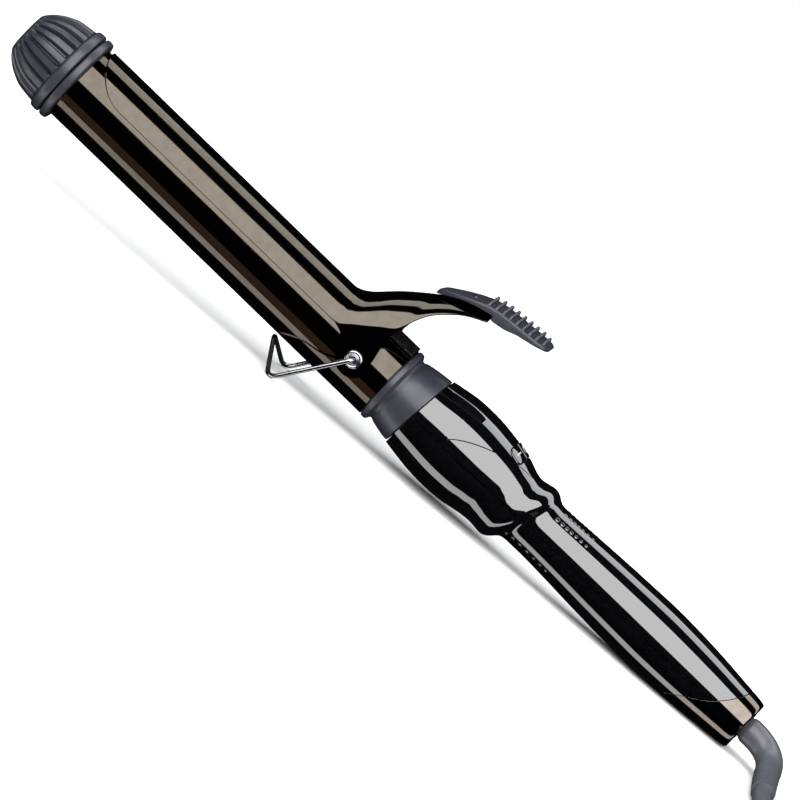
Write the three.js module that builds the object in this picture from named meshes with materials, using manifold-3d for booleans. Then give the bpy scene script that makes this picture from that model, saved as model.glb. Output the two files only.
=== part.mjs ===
// A curling iron with a spring clamp, a wire stand, three buttons and a swivel cord, as separate solids.
// Units are millimetres, +Z is up and the iron rests on z = 0, on its wire stand and the end of its handle.
// The iron itself is drawn along its own axis: +X from the tip to the cord, x = 0 where the barrel starts.
import * as THREE from 'three';
import { mergeVertices } from 'three/addons/utils/BufferGeometryUtils.js';
import Module from 'manifold-3d';

const wasm = await Module();
wasm.setup();

// ---------- driving dimensions ----------
const GAP = 0.3; // clearance between pieces that touch
const TILT = THREE.MathUtils.degToRad(4.17); // the axis falls this much towards the handle
const BARREL_R = 15.875; // a 1 1/4 inch barrel
const BARREL_WALL = 1.1;
const BARREL_END = 161;
const FLANGE_R = 18.9; // the two flanges at the tip
const TIP_FACE = -27; // the tip's flat end
const TIP_RIBS = 24;
const SPOON_R = 16.95; // outside of the clamp's spoon
const SHEET = 0.75; // thickness of the clamp's sheet metal
const SPOON_HALF_ANGLE = THREE.MathUtils.degToRad(71.8);
const SPOON_TIP = 2;
const SPOON_FULL = 20; // from here back the spoon has its full width
const SPOON_BACK = 127; // where the spoon turns into the lever
const PIVOT_X = 146.3; // the clamp and the stand share this pivot, on the axis
const EAR_IN = 16.2; // inner side of the clamp's ears
const EAR_OUT = 17;
const EYELET_R = 1.9;
const EYELET_HEAD_R = 3.5;
const EYELET_HEAD_IN = EAR_OUT + GAP;
const EYELET_HEAD_OUT = 18.3;
const WIRE_R = 0.95;
const COLLAR_END = 176.5;
const COLLAR_SLANT = 1.5;
const BORE_R = 9; // wire passage through the collar
const HANDLE_START = 176.9;
const HANDLE_END = 345;
const BUTTON_X = 214.6;
const BUTTON_ROW = { long: 6.4, wide: 19.6, corner: 2.2 };
const POWER_HALF = 3.1; // half the width of the middle button
const BOARD_Z = 4.2;
const CORD_D = 7.5;
const CORD_R = CORD_D / 2;

// ---------- colours ----------
const finish = (color, roughness, metalness) => ({ color, roughness, metalness });
const BRONZE = finish(0x4a4440, 0.16, 1);
const GREY_PLASTIC = finish(0x4b4e58, 0.5, 0);
const BLACK_GLOSS = finish(0x08080a, 0.08, 0);
const CHROME = finish(0xc8ccd0, 0.12, 1);
const STEEL = finish(0x8d9094, 0.35, 1);
const ALUMINIUM = finish(0xb9bcc0, 0.4, 1);
const COPPER = finish(0xb87333, 0.3, 1);
const CERAMIC = finish(0xe8e4da, 0.7, 0);
const BOARD_GREEN = finish(0x1e5a35, 0.55, 0);
const CORD_GREY = finish(0x5d6066, 0.6, 0);

// ---------- solids ----------
// A closed geometry as a solid for cutting and joining.
function solid(geometry) {
  const bare = geometry.clone();
  bare.deleteAttribute('normal');
  bare.deleteAttribute('uv');
  const merged = mergeVertices(bare, 1e-4);
  return new wasm.Manifold(new wasm.Mesh({
    numProp: 3,
    vertProperties: merged.attributes.position.array,
    triVerts: new Uint32Array(merged.index.array),
  }));
}

function geometryOf(shape) {
  const { vertProperties, triVerts } = shape.getMesh();
  const geometry = new THREE.BufferGeometry();
  geometry.setAttribute('position', new THREE.BufferAttribute(vertProperties, 3));
  geometry.setIndex(new THREE.BufferAttribute(triVerts, 1));
  return geometry;
}

const cut = (shape, ...tools) => tools.reduce((rest, tool) => rest.subtract(tool), shape);
const join = (shape, ...others) => others.reduce((whole, other) => whole.add(other), shape);

// A solid through rings of [x, y, z] points that run the same way round, closed by a fan at each end.
function loft(rings) {
  const sides = rings[0].length;
  const positions = rings.flat(2);
  const faces = [];
  for (let i = 0; i < rings.length - 1; i++) {
    for (let j = 0; j < sides; j++) {
      const a = i * sides + j;
      const b = i * sides + ((j + 1) % sides);
      faces.push(a, b, b + sides, a, b + sides, a + sides);
    }
  }
  [[0, false], [rings.length - 1, true]].forEach(([ring, last]) => {
    const middle = [0, 1, 2].map((k) => rings[ring].reduce((sum, p) => sum + p[k], 0) / sides);
    const hub = positions.length / 3;
    positions.push(...middle);
    for (let j = 0; j < sides; j++) {
      const a = ring * sides + j;
      const b = ring * sides + ((j + 1) % sides);
      faces.push(...(last ? [a, b, hub] : [b, a, hub]));
    }
  });
  const geometry = new THREE.BufferGeometry();
  geometry.setAttribute('position', new THREE.Float32BufferAttribute(positions, 3));
  geometry.setIndex(faces);
  return solid(geometry);
}

// Round sections along x. A station is [x, radius, droop, slant]: the top's radius is radius + droop,
// and the top of the ring leans towards +x by slant.
function roundLoft(stations, sides = 24, grow = 0) {
  return loft(stations.map(([x, radius, droop = 0, slant = 0]) => {
    return Array.from({ length: sides }, (_, j) => {
      const angle = (2 * Math.PI * j) / sides;
      const r = radius + droop * Math.cos(angle) + grow;
      return [x + slant * Math.cos(angle), -r * Math.sin(angle), r * Math.cos(angle)];
    });
  }));
}

const rod = (x0, x1, radius, sides = 24) => roundLoft([[x0, radius], [x1, radius]], sides);
const tube = (x0, x1, outer, inner, sides = 24) => {
  return cut(rod(x0, x1, outer, sides), rod(x0 - 1, x1 + 1, inner, sides));
};

function box(x0, x1, y0, y1, z0, z1) {
  const geometry = new THREE.BoxGeometry(x1 - x0, y1 - y0, z1 - z0);
  geometry.translate((x0 + x1) / 2, (y0 + y1) / 2, (z0 + z1) / 2);
  return solid(geometry);
}

// A cylinder across the iron, along y.
function crossRod(x, z, y0, y1, radius, sides = 12) {
  const geometry = new THREE.CylinderGeometry(radius, radius, y1 - y0, sides);
  geometry.translate(x, (y0 + y1) / 2, z);
  return solid(geometry);
}

// A cylinder that stands up, along z.
function post(x, y, z0, z1, radius, sides = 12) {
  const geometry = new THREE.CylinderGeometry(radius, radius, z1 - z0, sides);
  geometry.rotateX(Math.PI / 2);
  geometry.translate(x, y, (z0 + z1) / 2);
  return solid(geometry);
}

// An outline in the x-z plane, extruded across from y0 to y1.
function sidePlate(outline, y0, y1) {
  const depth = y1 - y0;
  const geometry = new THREE.ExtrudeGeometry(outline, { depth, bevelEnabled: false, curveSegments: 6 });
  geometry.rotateX(Math.PI / 2);
  geometry.translate(0, y1, 0);
  return solid(geometry);
}

// An outline in the x-y plane, extruded up from z0 to z1.
function planPlate(outline, z0, z1, curveSegments = 6) {
  const depth = z1 - z0;
  const geometry = new THREE.ExtrudeGeometry(outline, { depth, bevelEnabled: false, curveSegments });
  geometry.translate(0, 0, z0);
  return solid(geometry);
}

function polygon(points) {
  return new THREE.Shape(points.map(([x, y]) => new THREE.Vector2(x, y)));
}

function roundedRectangle(x, y, wide, high, corner) {
  const [l, r, b, t] = [x - wide / 2, x + wide / 2, y - high / 2, y + high / 2];
  const shape = new THREE.Shape();
  shape.moveTo(l + corner, b);
  shape.lineTo(r - corner, b);
  shape.absarc(r - corner, b + corner, corner, -Math.PI / 2, 0, false);
  shape.lineTo(r, t - corner);
  shape.absarc(r - corner, t - corner, corner, 0, Math.PI / 2, false);
  shape.lineTo(l + corner, t);
  shape.absarc(l + corner, t - corner, corner, Math.PI / 2, Math.PI, false);
  shape.lineTo(l, b + corner);
  shape.absarc(l + corner, b + corner, corner, Math.PI, 1.5 * Math.PI, false);
  return shape;
}

// A sheet of even thickness below a grid of outer points: rows along x, each row across from -y to +y.
function sheet(rows, thickness) {
  const across = rows[0].length;
  const at = (i, j) => {
    const row = rows[THREE.MathUtils.clamp(i, 0, rows.length - 1)];
    return new THREE.Vector3(...row[THREE.MathUtils.clamp(j, 0, across - 1)]);
  };
  const inward = (i, j) => {
    const along = at(i + 1, j).sub(at(i - 1, j));
    const over = at(i, j + 1).sub(at(i, j - 1));
    return over.cross(along).normalize().multiplyScalar(thickness);
  };
  const outer = [];
  const inner = [];
  rows.forEach((row, i) => row.forEach((point, j) => {
    outer.push(...point);
    inner.push(...at(i, j).add(inward(i, j)).toArray());
  }));
  const faces = [];
  const count = rows.length * across;
  const quad = (a, b, c, d) => faces.push(a, b, c, a, c, d);
  for (let i = 0; i < rows.length - 1; i++) {
    for (let j = 0; j < across - 1; j++) {
      const a = i * across + j;
      quad(a, a + across, a + across + 1, a + 1);
      quad(count + a, count + a + 1, count + a + across + 1, count + a + across);
    }
    const left = i * across;
    const right = left + across - 1;
    quad(left, count + left, count + left + across, left + across);
    quad(right, right + across, count + right + across, count + right);
  }
  for (let j = 0; j < across - 1; j++) {
    const first = j;
    const last = (rows.length - 1) * across + j;
    quad(first, first + 1, count + first + 1, count + first);
    quad(last, count + last, count + last + 1, last + 1);
  }
  const geometry = new THREE.BufferGeometry();
  geometry.setAttribute('position', new THREE.Float32BufferAttribute([...outer, ...inner], 3));
  geometry.setIndex(faces);
  return solid(geometry);
}

// The corners of a bent wire, each corner rounded off over the length reach.
function roundedRoute(corners, reach, steps = 4) {
  const points = corners.map((corner) => new THREE.Vector3(...corner));
  const route = [points[0]];
  for (let i = 1; i < points.length - 1; i++) {
    const before = points[i].clone().add(points[i - 1].clone().sub(points[i]).setLength(reach[i - 1]));
    const after = points[i].clone().add(points[i + 1].clone().sub(points[i]).setLength(reach[i - 1]));
    route.push(...new THREE.QuadraticBezierCurve3(before, points[i], after).getPoints(steps));
  }
  route.push(points[points.length - 1]);
  return route;
}

// A round bar through the points of a route, with a radius that may change along it.
function sweep(route, radiusAt, sides = 8) {
  const heading = (i) => {
    const before = route[Math.max(i - 1, 0)];
    const after = route[Math.min(i + 1, route.length - 1)];
    return after.clone().sub(before).normalize();
  };
  const up = Math.abs(heading(0).z) < 0.9 ? new THREE.Vector3(0, 0, 1) : new THREE.Vector3(1, 0, 0);
  let across = new THREE.Vector3().crossVectors(up, heading(0)).normalize();
  return loft(route.map((point, i) => {
    const forward = heading(i);
    across = across.clone().addScaledVector(forward, -across.dot(forward)).normalize();
    const lift = new THREE.Vector3().crossVectors(forward, across);
    const r = radiusAt(i / (route.length - 1));
    return Array.from({ length: sides }, (_, j) => {
      const angle = (2 * Math.PI * j) / sides;
      return point.clone()
        .addScaledVector(across, r * Math.cos(angle))
        .addScaledVector(lift, r * Math.sin(angle))
        .toArray();
    });
  }));
}

// ---------- the tree ----------
const iron = new THREE.Group(); // everything along the tilted axis
const table = new THREE.Group(); // the cord and what is on it, drawn level

function add(group, name, shape, { color, roughness, metalness }) {
  const material = new THREE.MeshStandardMaterial({ color, roughness, metalness, side: THREE.DoubleSide });
  const mesh = new THREE.Mesh(geometryOf(shape), material);
  mesh.name = name;
  group.add(mesh);
}

const between = (value, low, high) => THREE.MathUtils.smoothstep(value, low, high);

// ---------- tip ----------
function makeTip() {
  const profile = [[TIP_FACE, 8.4], [-26.4, 9.3], [-24.5, 11.4], [-20, 14.6], [-15, 16.6], [-8, 17.5]];
  const depthOf = (x) => 0.9 * between(x, -26.6, -25) * (1 - between(x, -8.6, -8));
  const steps = TIP_RIBS * 2;
  const ribbed = loft(profile.map(([x, radius]) => Array.from({ length: steps }, (_, j) => {
    const angle = (2 * Math.PI * (j + 0.5)) / steps;
    const r = radius - (j % 2 ? depthOf(x) : 0);
    return [x, -r * Math.sin(angle), r * Math.cos(angle)];
  })));
  const flange = roundLoft([[-8.3, 17], [-7, 17.6], [-6.4, FLANGE_R - 0.3], [-5.4, FLANGE_R],
    [-4.4, FLANGE_R - 0.2], [-3.8, 18]], 32);
  const hollow = roundLoft([[-22, 9], [-15, 13], [-3, 14]], 16);
  const boss = tube(-24, -6, 4.2, 1.5, 10);
  add(iron, 'tip_cap', join(cut(join(ribbed, flange), hollow), boss), GREY_PLASTIC);

  const ring = roundLoft([[-3.5, 18], [-2.9, FLANGE_R - 0.2], [-1.6, FLANGE_R], [-0.6, FLANGE_R - 0.3],
    [0, 17.6], [0, 14.4], [10, 14.4]], 32);
  const bore = roundLoft([[-4, 1.8], [2, 1.8], [2, 11.5], [11, 11.5]], 16);
  add(iron, 'tip_ring', cut(ring, bore), GREY_PLASTIC);

  const screw = roundLoft([[-16, 1.1], [2.4, 1.1], [2.4, 3], [4.6, 3]], 12);
  add(iron, 'tip_screw', cut(screw, box(3.8, 5, -2.2, 2.2, -0.4, 0.4)), STEEL);
}

// ---------- barrel and what heats it ----------
function makeBarrel() {
  const inner = BARREL_R - BARREL_WALL;
  const shell = tube(GAP, BARREL_END, BARREL_R, inner, 48);
  const pivotHole = crossRod(PIVOT_X, 0, -20, 20, EYELET_R + GAP);
  add(iron, 'barrel', cut(shell, pivotHole), BRONZE);

  const blockR = inner - GAP;
  const round = rod(28, 128, blockR, 24);
  const halfOf = (low, high) => box(20, 140, -20, 20, low, high);
  const wireSlot = box(100, 140, -2.4, 2.4, 8.4, 16);
  const fuseSlot = box(70, 140, -2.6, 2.6, -16, -8.2);
  add(iron, 'heat_block_upper', cut(round.intersect(halfOf(2.3, 20)), wireSlot), ALUMINIUM);
  add(iron, 'heat_block_lower', cut(round.intersect(halfOf(-20, -2.9)), fuseSlot), ALUMINIUM);
  add(iron, 'heater_plate', box(34, 122, -9.5, 9.5, -1.9, 1.9), CERAMIC);
  add(iron, 'heater_spring', box(30, 126, -7, 7, -2.6, -2.2), STEEL);
  add(iron, 'thermistor', rod(104, 112, 1.5, 10).translate([0, 0, 10.6]), CERAMIC);
  add(iron, 'thermal_fuse', rod(76, 88, 1.9, 10).translate([0, 0, -10.8]), ALUMINIUM);

  const leadHoles = [-5, 5].map((y) => rod(130, 142, 1.5, 8).translate([0, y, 0]));
  const senseHole = rod(130, 142, 1.3, 8).translate([0, 0, 8]);
  add(iron, 'insulator_disc', cut(rod(134, 137, blockR, 24), ...leadHoles, senseHole), CERAMIC);
  const lug = tube(142.5, 149.6, blockR, 11.4, 24);
  add(iron, 'pivot_ring', cut(lug, pivotHole), STEEL);
}

// ---------- clamp: spoon, lever and ears from one sheet ----------
// The clamp's section at x: an ellipse arc about the top, halfAngle each way.
function clampSection(x) {
  if (x <= SPOON_BACK) {
    const share = Math.min(1, Math.max(0, (x - SPOON_TIP) / (SPOON_FULL - SPOON_TIP)));
    const halfAngle = SPOON_HALF_ANGLE * Math.max(0.12, Math.sqrt(1 - (1 - share) ** 2));
    return { halfAngle, wide: SPOON_R, high: SPOON_R, base: 0 };
  }
  const [halfWidth, edge, crown] = leverAt(x);
  const high = (crown - edge) / (1 - Math.cos(SPOON_HALF_ANGLE));
  return {
    halfAngle: SPOON_HALF_ANGLE,
    wide: halfWidth / Math.sin(SPOON_HALF_ANGLE),
    high,
    base: crown - high,
  };
}

const LEVER_END = 172.3;
// [x, half width, height of the side edge, height of the crown] of the lever behind the spoon.
const LEVER = [
  [SPOON_BACK, 16.1, 5.29, 16.95],
  [130, 16.2, 5.4, 18],
  [133, EAR_OUT, 6, 20],
  [136.5, EAR_OUT, 9, 23.5],
  [140, EAR_OUT, 11.7, 27.1],
  [145, EAR_OUT, 15.8, 31.5],
  [150.5, EAR_OUT, 20.4, 35.9],
  [152.5, 16.3, 26, 37.4],
  [155, 15, 31, 39.2],
  [160, 12.8, 36.4, 42.3],
  [165, 11.2, 40.4, 44.5],
  [LEVER_END, 10.2, 44.2, 46.1],
];

function leverAt(x) {
  const next = Math.max(1, LEVER.findIndex((station) => station[0] >= x));
  const [low, high] = [LEVER[next - 1], LEVER[next]];
  const share = (x - low[0]) / (high[0] - low[0]);
  return [1, 2, 3].map((k) => low[k] + share * (high[k] - low[k]));
}

function clampRow(x, across = 12) {
  const { halfAngle, wide, high, base } = clampSection(x);
  return Array.from({ length: across + 1 }, (_, j) => {
    const angle = halfAngle * ((2 * j) / across - 1);
    return [x, wide * Math.sin(angle), base + high * Math.cos(angle)];
  });
}

function earOutline() {
  const ear = new THREE.Shape();
  ear.moveTo(131.6, 5.6);
  ear.quadraticCurveTo(136.5, 4.6, 138.2, 0.5);
  ear.quadraticCurveTo(139.2, -2.6, 140.6, -4.2);
  ear.absarc(PIVOT_X, 0, 7, -2.55, -0.5, false);
  ear.quadraticCurveTo(152.4, 3.3, 150.6, 10.9);
  ear.lineTo(150.2, 14.5);
  ear.lineTo(152.3, 25.5);
  ear.lineTo(150.5, 20.8);
  ear.lineTo(133, 6.4);
  return ear;
}

function makeClamp() {
  const spoon = [2.2, 3, 4.5, 7, 10, 14, SPOON_FULL, SPOON_BACK];
  const rows = [...spoon, ...LEVER.slice(1).map((station) => station[0])].map((x) => clampRow(x));
  const ears = [[-EAR_OUT, -EAR_IN], [EAR_IN, EAR_OUT]].map(([y0, y1]) => sidePlate(earOutline(), y0, y1));
  const holes = crossRod(PIVOT_X, 0, -20, 20, EYELET_R + GAP);
  const rivetHoles = RIVETS_X.map((x) => post(x, 0, 35, 50, RIVET.shank + GAP, 10));
  add(iron, 'clamp', cut(join(sheet(rows, SHEET), ...ears), holes, ...rivetHoles), BRONZE);
}

// ---------- thumb rest ----------
const RIVETS_X = [163.5, 170];
const NUB_ROWS = 9;
const NUB_PITCH = 3.07;
const NUB_FIRST = 168.5;
const NUB = { high: 2.4, foot: 1, top: 0.6, apart: 2.9, aside: 3 }; // aside: nubs each side of the middle
const RIVET = { head: 2.4, shank: 1.2, foot: 1.8, below: 2.9 }; // radii, and how far it goes below the crown

// [x, half width, underside, top] along the thumb rest.
const REST = [
  [150.6, 1.2, 37.2, 38.2],
  [152, 3.8, 37.8, 40.2],
  [155, 6.6, 39.9, 42.2],
  [160, 9.2, 43, 44.9],
  [165, 10.8, 45.2, 47.3],
  [169, 11, 46.3, 49],
  [172.4, 11, 46.9, 49.8],
  [172.8, 11, 45.2, 49.9],
  [178, 11, 46, 50.5],
  [184, 11, 48, 51],
  [190, 10.9, 49.3, 51.5],
  [194.5, 9.6, 50.4, 51.8],
  [196.4, 6.4, 50.9, 51.5],
];

function restTop(x) {
  const next = REST.findIndex((station) => station[0] >= x);
  const [low, high] = [REST[next - 1], REST[next]];
  return low[3] + ((x - low[0]) / (high[0] - low[0])) * (high[3] - low[3]);
}

function makeThumbRest() {
  const body = loft(REST.map(([x, half, under, top]) => {
    const soft = Math.min(0.7, (top - under) / 3);
    return [[half, under + soft], [half, top - soft], [half - soft, top], [soft - half, top],
      [-half, top - soft], [-half, under + soft], [soft - half, under], [half - soft, under]]
      .map(([y, z]) => [x, y, z]);
  }));
  const nubs = [];
  for (let row = 0; row < NUB_ROWS; row++) {
    const x = NUB_FIRST + row * NUB_PITCH;
    for (let k = -NUB.aside; k <= NUB.aside; k++) {
      if (row === NUB_ROWS - 1 && Math.abs(k) === NUB.aside) continue;
      const nub = new THREE.CylinderGeometry(NUB.top, NUB.foot, NUB.high, 4);
      nub.rotateX(Math.PI / 2);
      nub.translate(x, k * NUB.apart, restTop(x) + 0.7);
      nubs.push(solid(nub));
    }
  }
  // The underside clears the lever's crowned top.
  const clearance = sheet([148, ...LEVER.slice(6).map((station) => station[0]), LEVER_END + GAP]
    .map((x) => clampRow(Math.min(x, LEVER_END)).map(([, y, z]) => [x, y, z + GAP])), 6);
  const rivets = RIVETS_X.map((x) => post(x, 0, 30, 52, RIVET.shank + GAP, 10));
  const heads = RIVETS_X.map((x) => post(x, 0, restTop(x) - 1.3, 60, 2.8, 12));
  add(iron, 'thumb_rest', cut(join(body, ...nubs), clearance, ...rivets, ...heads), GREY_PLASTIC);
  RIVETS_X.forEach((x, i) => {
    const crown = leverAt(x)[2];
    const head = post(x, 0, restTop(x) - 1, restTop(x) - 0.2, RIVET.head, 12);
    const shank = post(x, 0, crown - RIVET.below, restTop(x) - 0.8, RIVET.shank, 10);
    const foot = post(x, 0, crown - RIVET.below, crown - RIVET.below + 1, RIVET.foot, 12);
    add(iron, `thumb_rest_rivet_${i + 1}`, join(head, shank, foot), STEEL);
  });
}

// ---------- clamp spring and the saddle it sits on ----------
const SADDLE_R = 17; // outside of the saddle that the spring sits on
const SPRING = { x: 145.5, z: 19.3, coil: 2.6, wire: 0.5, half: 6.5 };

function makeSpring() {
  const rows = [148.6, 160.6].map((x) => Array.from({ length: 9 }, (_, j) => {
    const angle = THREE.MathUtils.degToRad(-30 + 7.5 * j);
    return [x, SADDLE_R * Math.sin(angle), SADDLE_R * Math.cos(angle)];
  }));
  const tab = box(150, 151.2, -8.4, 8.4, 15.6, 18.2).intersect(rod(140, 165, 18.4, 32));
  const seat = cut(tab, rod(140, 165, 16.3, 32));
  add(iron, 'spring_saddle', join(sheet(rows, 0.8), seat), STEEL);

  const { x, z, coil, wire, half } = SPRING;
  const inside = crossRod(x, z, -half - 1, half + 1, coil - 2 * wire, 14);
  const turns = cut(crossRod(x, z, -half, half, coil, 14), inside);
  const foot = sweep([[x + 1, 0.4, z - coil + wire], [x - 6.5, 0.4, 16.9]]
    .map((p) => new THREE.Vector3(...p)), () => wire, 6);
  const arm = sweep([[x + coil - wire, -0.4, z + 0.6], [x + 3.4, -0.4, z + 7], [151.4, -0.4, 34.4]]
    .map((p) => new THREE.Vector3(...p)), () => wire, 6);
  add(iron, 'clamp_spring', join(turns, foot, arm), STEEL);
}

// ---------- pivot eyelets and the stand ----------
function makeEyelet(name, side) {
  const shank = crossRod(PIVOT_X, 0, 11.6, EYELET_HEAD_IN + 0.2, EYELET_R, 14);
  const head = crossRod(PIVOT_X, 0, EYELET_HEAD_IN, EYELET_HEAD_OUT, EYELET_HEAD_R, 20);
  const dish = new THREE.CylinderGeometry(2.9, 1.5, 0.7, 20);
  dish.translate(PIVOT_X, EYELET_HEAD_OUT - 0.2, 0);
  const bore = crossRod(PIVOT_X, 0, 10, 20, WIRE_R + GAP, 12);
  const right = cut(join(shank, head), solid(dish), bore);
  add(iron, name, side > 0 ? right : right.rotate([0, 0, 180]).translate([2 * PIVOT_X, 0, 0]), CHROME);
}

const STAND_CORNERS = [
  [PIVOT_X, -13, 0],
  [PIVOT_X, -19.6, 0],
  [127.6, -18.4, -27.78],
  [117.3, 0, -17.05],
  [127.6, 18.4, -27.78],
  [PIVOT_X, 19.6, 0],
  [PIVOT_X, 13, 0],
];

function makeStand() {
  const route = roundedRoute(STAND_CORNERS, [1.8, 5.5, 3.6, 5.5, 1.8], 5);
  add(iron, 'stand_wire', sweep(route, () => WIRE_R, 8), CHROME);
}

// ---------- collar ----------
function makeCollar() {
  const outside = roundLoft([[150.2, 14.3], [160.9, 14.3], [161.3, 14.3], [161.3, 15.9], [161.8, 16.2],
    [163.6, 16.2], [164.9, 14.2], [165.7, 14.2], [166.3, 14.7], [171, 15.7, 0, 0.6],
    [COLLAR_END, 16.4, 0, COLLAR_SLANT], [COLLAR_END, 12.9, 0, 1.1], [187, 12.9]], 28);
  add(iron, 'collar', cut(outside, rod(149, 190, BORE_R, 20)), GREY_PLASTIC);
}

// ---------- handle ----------
// [x, radius, droop] down the handle: bulge, slanted shoulder and tail.
const BULGE = [[HANDLE_START, 16.9, 0], [180, 17.4, 0], [185, 18.2, 0], [190, 18.8, 0], [196, 19, 0],
  [203, 18.7, 0], [210, 17.7, -0.1], [215, 16.65, -0.75], [219, 15.5, -1.3]];
const SHOULDER = [[222.5, 15, -1.55], [225.5, 15.35, -1.4], [228.5, 15.8, -1.2], [231, 15.1, -0.9],
  [233, 13.5, -0.55], [234.6, 12.3, -0.25]];
const TAIL = [[237.5, 12, -0.1], [244, 12.05, 0], [255, 12.5, 0], [270, 13.2, 0], [285, 13.7, 0],
  [298, 14, 0], [310, 13.65, 0], [322, 12.95, 0], [334, 11.85, 0], [343.8, 10.85, 0], [HANDLE_END, 10.2, 0]];

// How far the top of a section at x leans towards the tail.
function slantAt(x) {
  const front = COLLAR_SLANT * (1 - between(x, HANDLE_START, 192));
  const shoulder = 4.5 * between(x, 205, 218) * (1 - between(x, 236, 254));
  return front + shoulder;
}

const HANDLE_SIDES = 28;
const handleStations = [...BULGE, ...SHOULDER, ...TAIL].map(([x, r, droop]) => [x, r, droop, slantAt(x)]);
const handleSolid = roundLoft(handleStations, HANDLE_SIDES);
const handleInside = roundLoft([[HANDLE_START - 4, 13.3], [188, 13.3], [190, 16.2], [203, 16.3],
  [210, 15.2, 0, 1], [219, 13, -0.9, 4.2], [228, 12.4, -0.6, 4.5], [236, 9.8, 0, 4.5], [250, 9.9],
  [270, 11], [298, 11.8], [322, 10.7], [336, 9.2]], 16);

// The curved seam where the tail cap starts, low at the front and high at the back, moved by shift.
function tailRegion(shift) {
  const seam = new THREE.Shape();
  seam.moveTo(311 + shift, -20);
  seam.lineTo(311.4 + shift, -13.8);
  seam.quadraticCurveTo(315 + shift, -9.4, 325 + shift, -3.2);
  seam.quadraticCurveTo(334 + shift, 2.8, 338.6 + shift, 12);
  seam.lineTo(338.8 + shift, 20);
  seam.lineTo(360, 20);
  seam.lineTo(360, -20);
  return sidePlate(seam, -25, 25);
}

const LEAF = { half: 18.3, start: 188, end: 234 }; // half width, where it starts to narrow, its point

// The leaf-shaped outline of the control panel in plan, made smaller or larger by grow.
function leafRegion(grow) {
  const half = (x) => {
    const share = Math.max(0, (x - LEAF.start) / (LEAF.end - LEAF.start));
    const beyond = share > 0 ? 0 : 4; // ahead of its start the panel takes the handle's whole width
    return LEAF.half * Math.cos((Math.PI / 2) * share) + grow + beyond;
  };
  const xs = [HANDLE_START - 6.9, LEAF.start, 197, 206, 215, 223, 230];
  const near = xs.map((x) => [x, -half(x)]);
  const far = xs.map((x) => [x, half(x)]).reverse();
  return planPlate(polygon([...near, [LEAF.end + grow, 0], ...far]), GAP / 2 - Math.min(grow, 0), 40);
}

const SCREWS_X = [241, 292];
const SCREW = { head: 2.5, shank: 1, seat: -9.7, end: 6 }; // radii, and heights on the axis
const EXIT_R = 7.7; // the hole in the tail for the swivel

function makeHandle() {
  const hollow = cut(handleSolid, handleInside);
  const exit = rod(330, 350, EXIT_R, 20);
  const frontPart = cut(hollow, tailRegion(-GAP), exit);
  const upperHalf = box(150, 360, -30, 30, GAP / 2, 40);
  const lowerHalf = box(150, 360, -30, 30, -40, -GAP / 2);
  const heads = SCREWS_X.map((x) => post(x, 0, -20, SCREW.seat + GAP, SCREW.head + 0.4));
  const shanks = SCREWS_X.map((x) => post(x, 0, -20, 9, SCREW.shank + 0.4, 10));
  const lowerBosses = SCREWS_X.map((x) => post(x, 0, -16, -0.4, 3.8).intersect(handleSolid));
  const upperBosses = SCREWS_X.map((x) => post(x, 0, 0.2, 16, 3.2).intersect(handleSolid));
  const threads = SCREWS_X.map((x) => post(x, 0, -2, 8, SCREW.shank + GAP, 10));

  add(iron, 'handle_lower', cut(join(frontPart.intersect(lowerHalf), ...lowerBosses), ...heads, ...shanks),
    BLACK_GLOSS);
  const upper = cut(frontPart.intersect(upperHalf), leafRegion(GAP / 2));
  add(iron, 'handle_upper', cut(join(upper, ...upperBosses), ...threads), BLACK_GLOSS);

  const opening = planPlate(roundedRectangle(BUTTON_X, 0, BUTTON_ROW.long + 2 * GAP,
    BUTTON_ROW.wide + 2 * GAP, BUTTON_ROW.corner + GAP), 0, 40, 3);
  const leaf = cut(frontPart.intersect(leafRegion(-GAP / 2)), opening);
  add(iron, 'control_panel', leaf, BLACK_GLOSS);

  add(iron, 'tail_cap', cut(hollow.intersect(tailRegion(0)), exit), BRONZE);

  SCREWS_X.forEach((x, i) => {
    const head = post(x, 0, -11.4, SCREW.seat, SCREW.head);
    const shank = post(x, 0, -10, SCREW.end, SCREW.shank, 10);
    const slot = box(x - 2, x + 2, -0.4, 0.4, -12, -10.8);
    add(iron, `handle_screw_${i + 1}`, cut(join(head, shank), slot), STEEL);
  });
}

// ---------- buttons, board and switches ----------
const BUTTON_LIFT = 0.35; // how far the keys stand above the panel
const BOARD_TOP = BOARD_Z + 0.8;
const BUTTONS = [
  { name: 'minus', low: -BUTTON_ROW.wide / 2, high: -POWER_HALF - GAP },
  { name: 'power', low: -POWER_HALF, high: POWER_HALF },
  { name: 'plus', low: POWER_HALF + GAP, high: BUTTON_ROW.wide / 2 },
];

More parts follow.
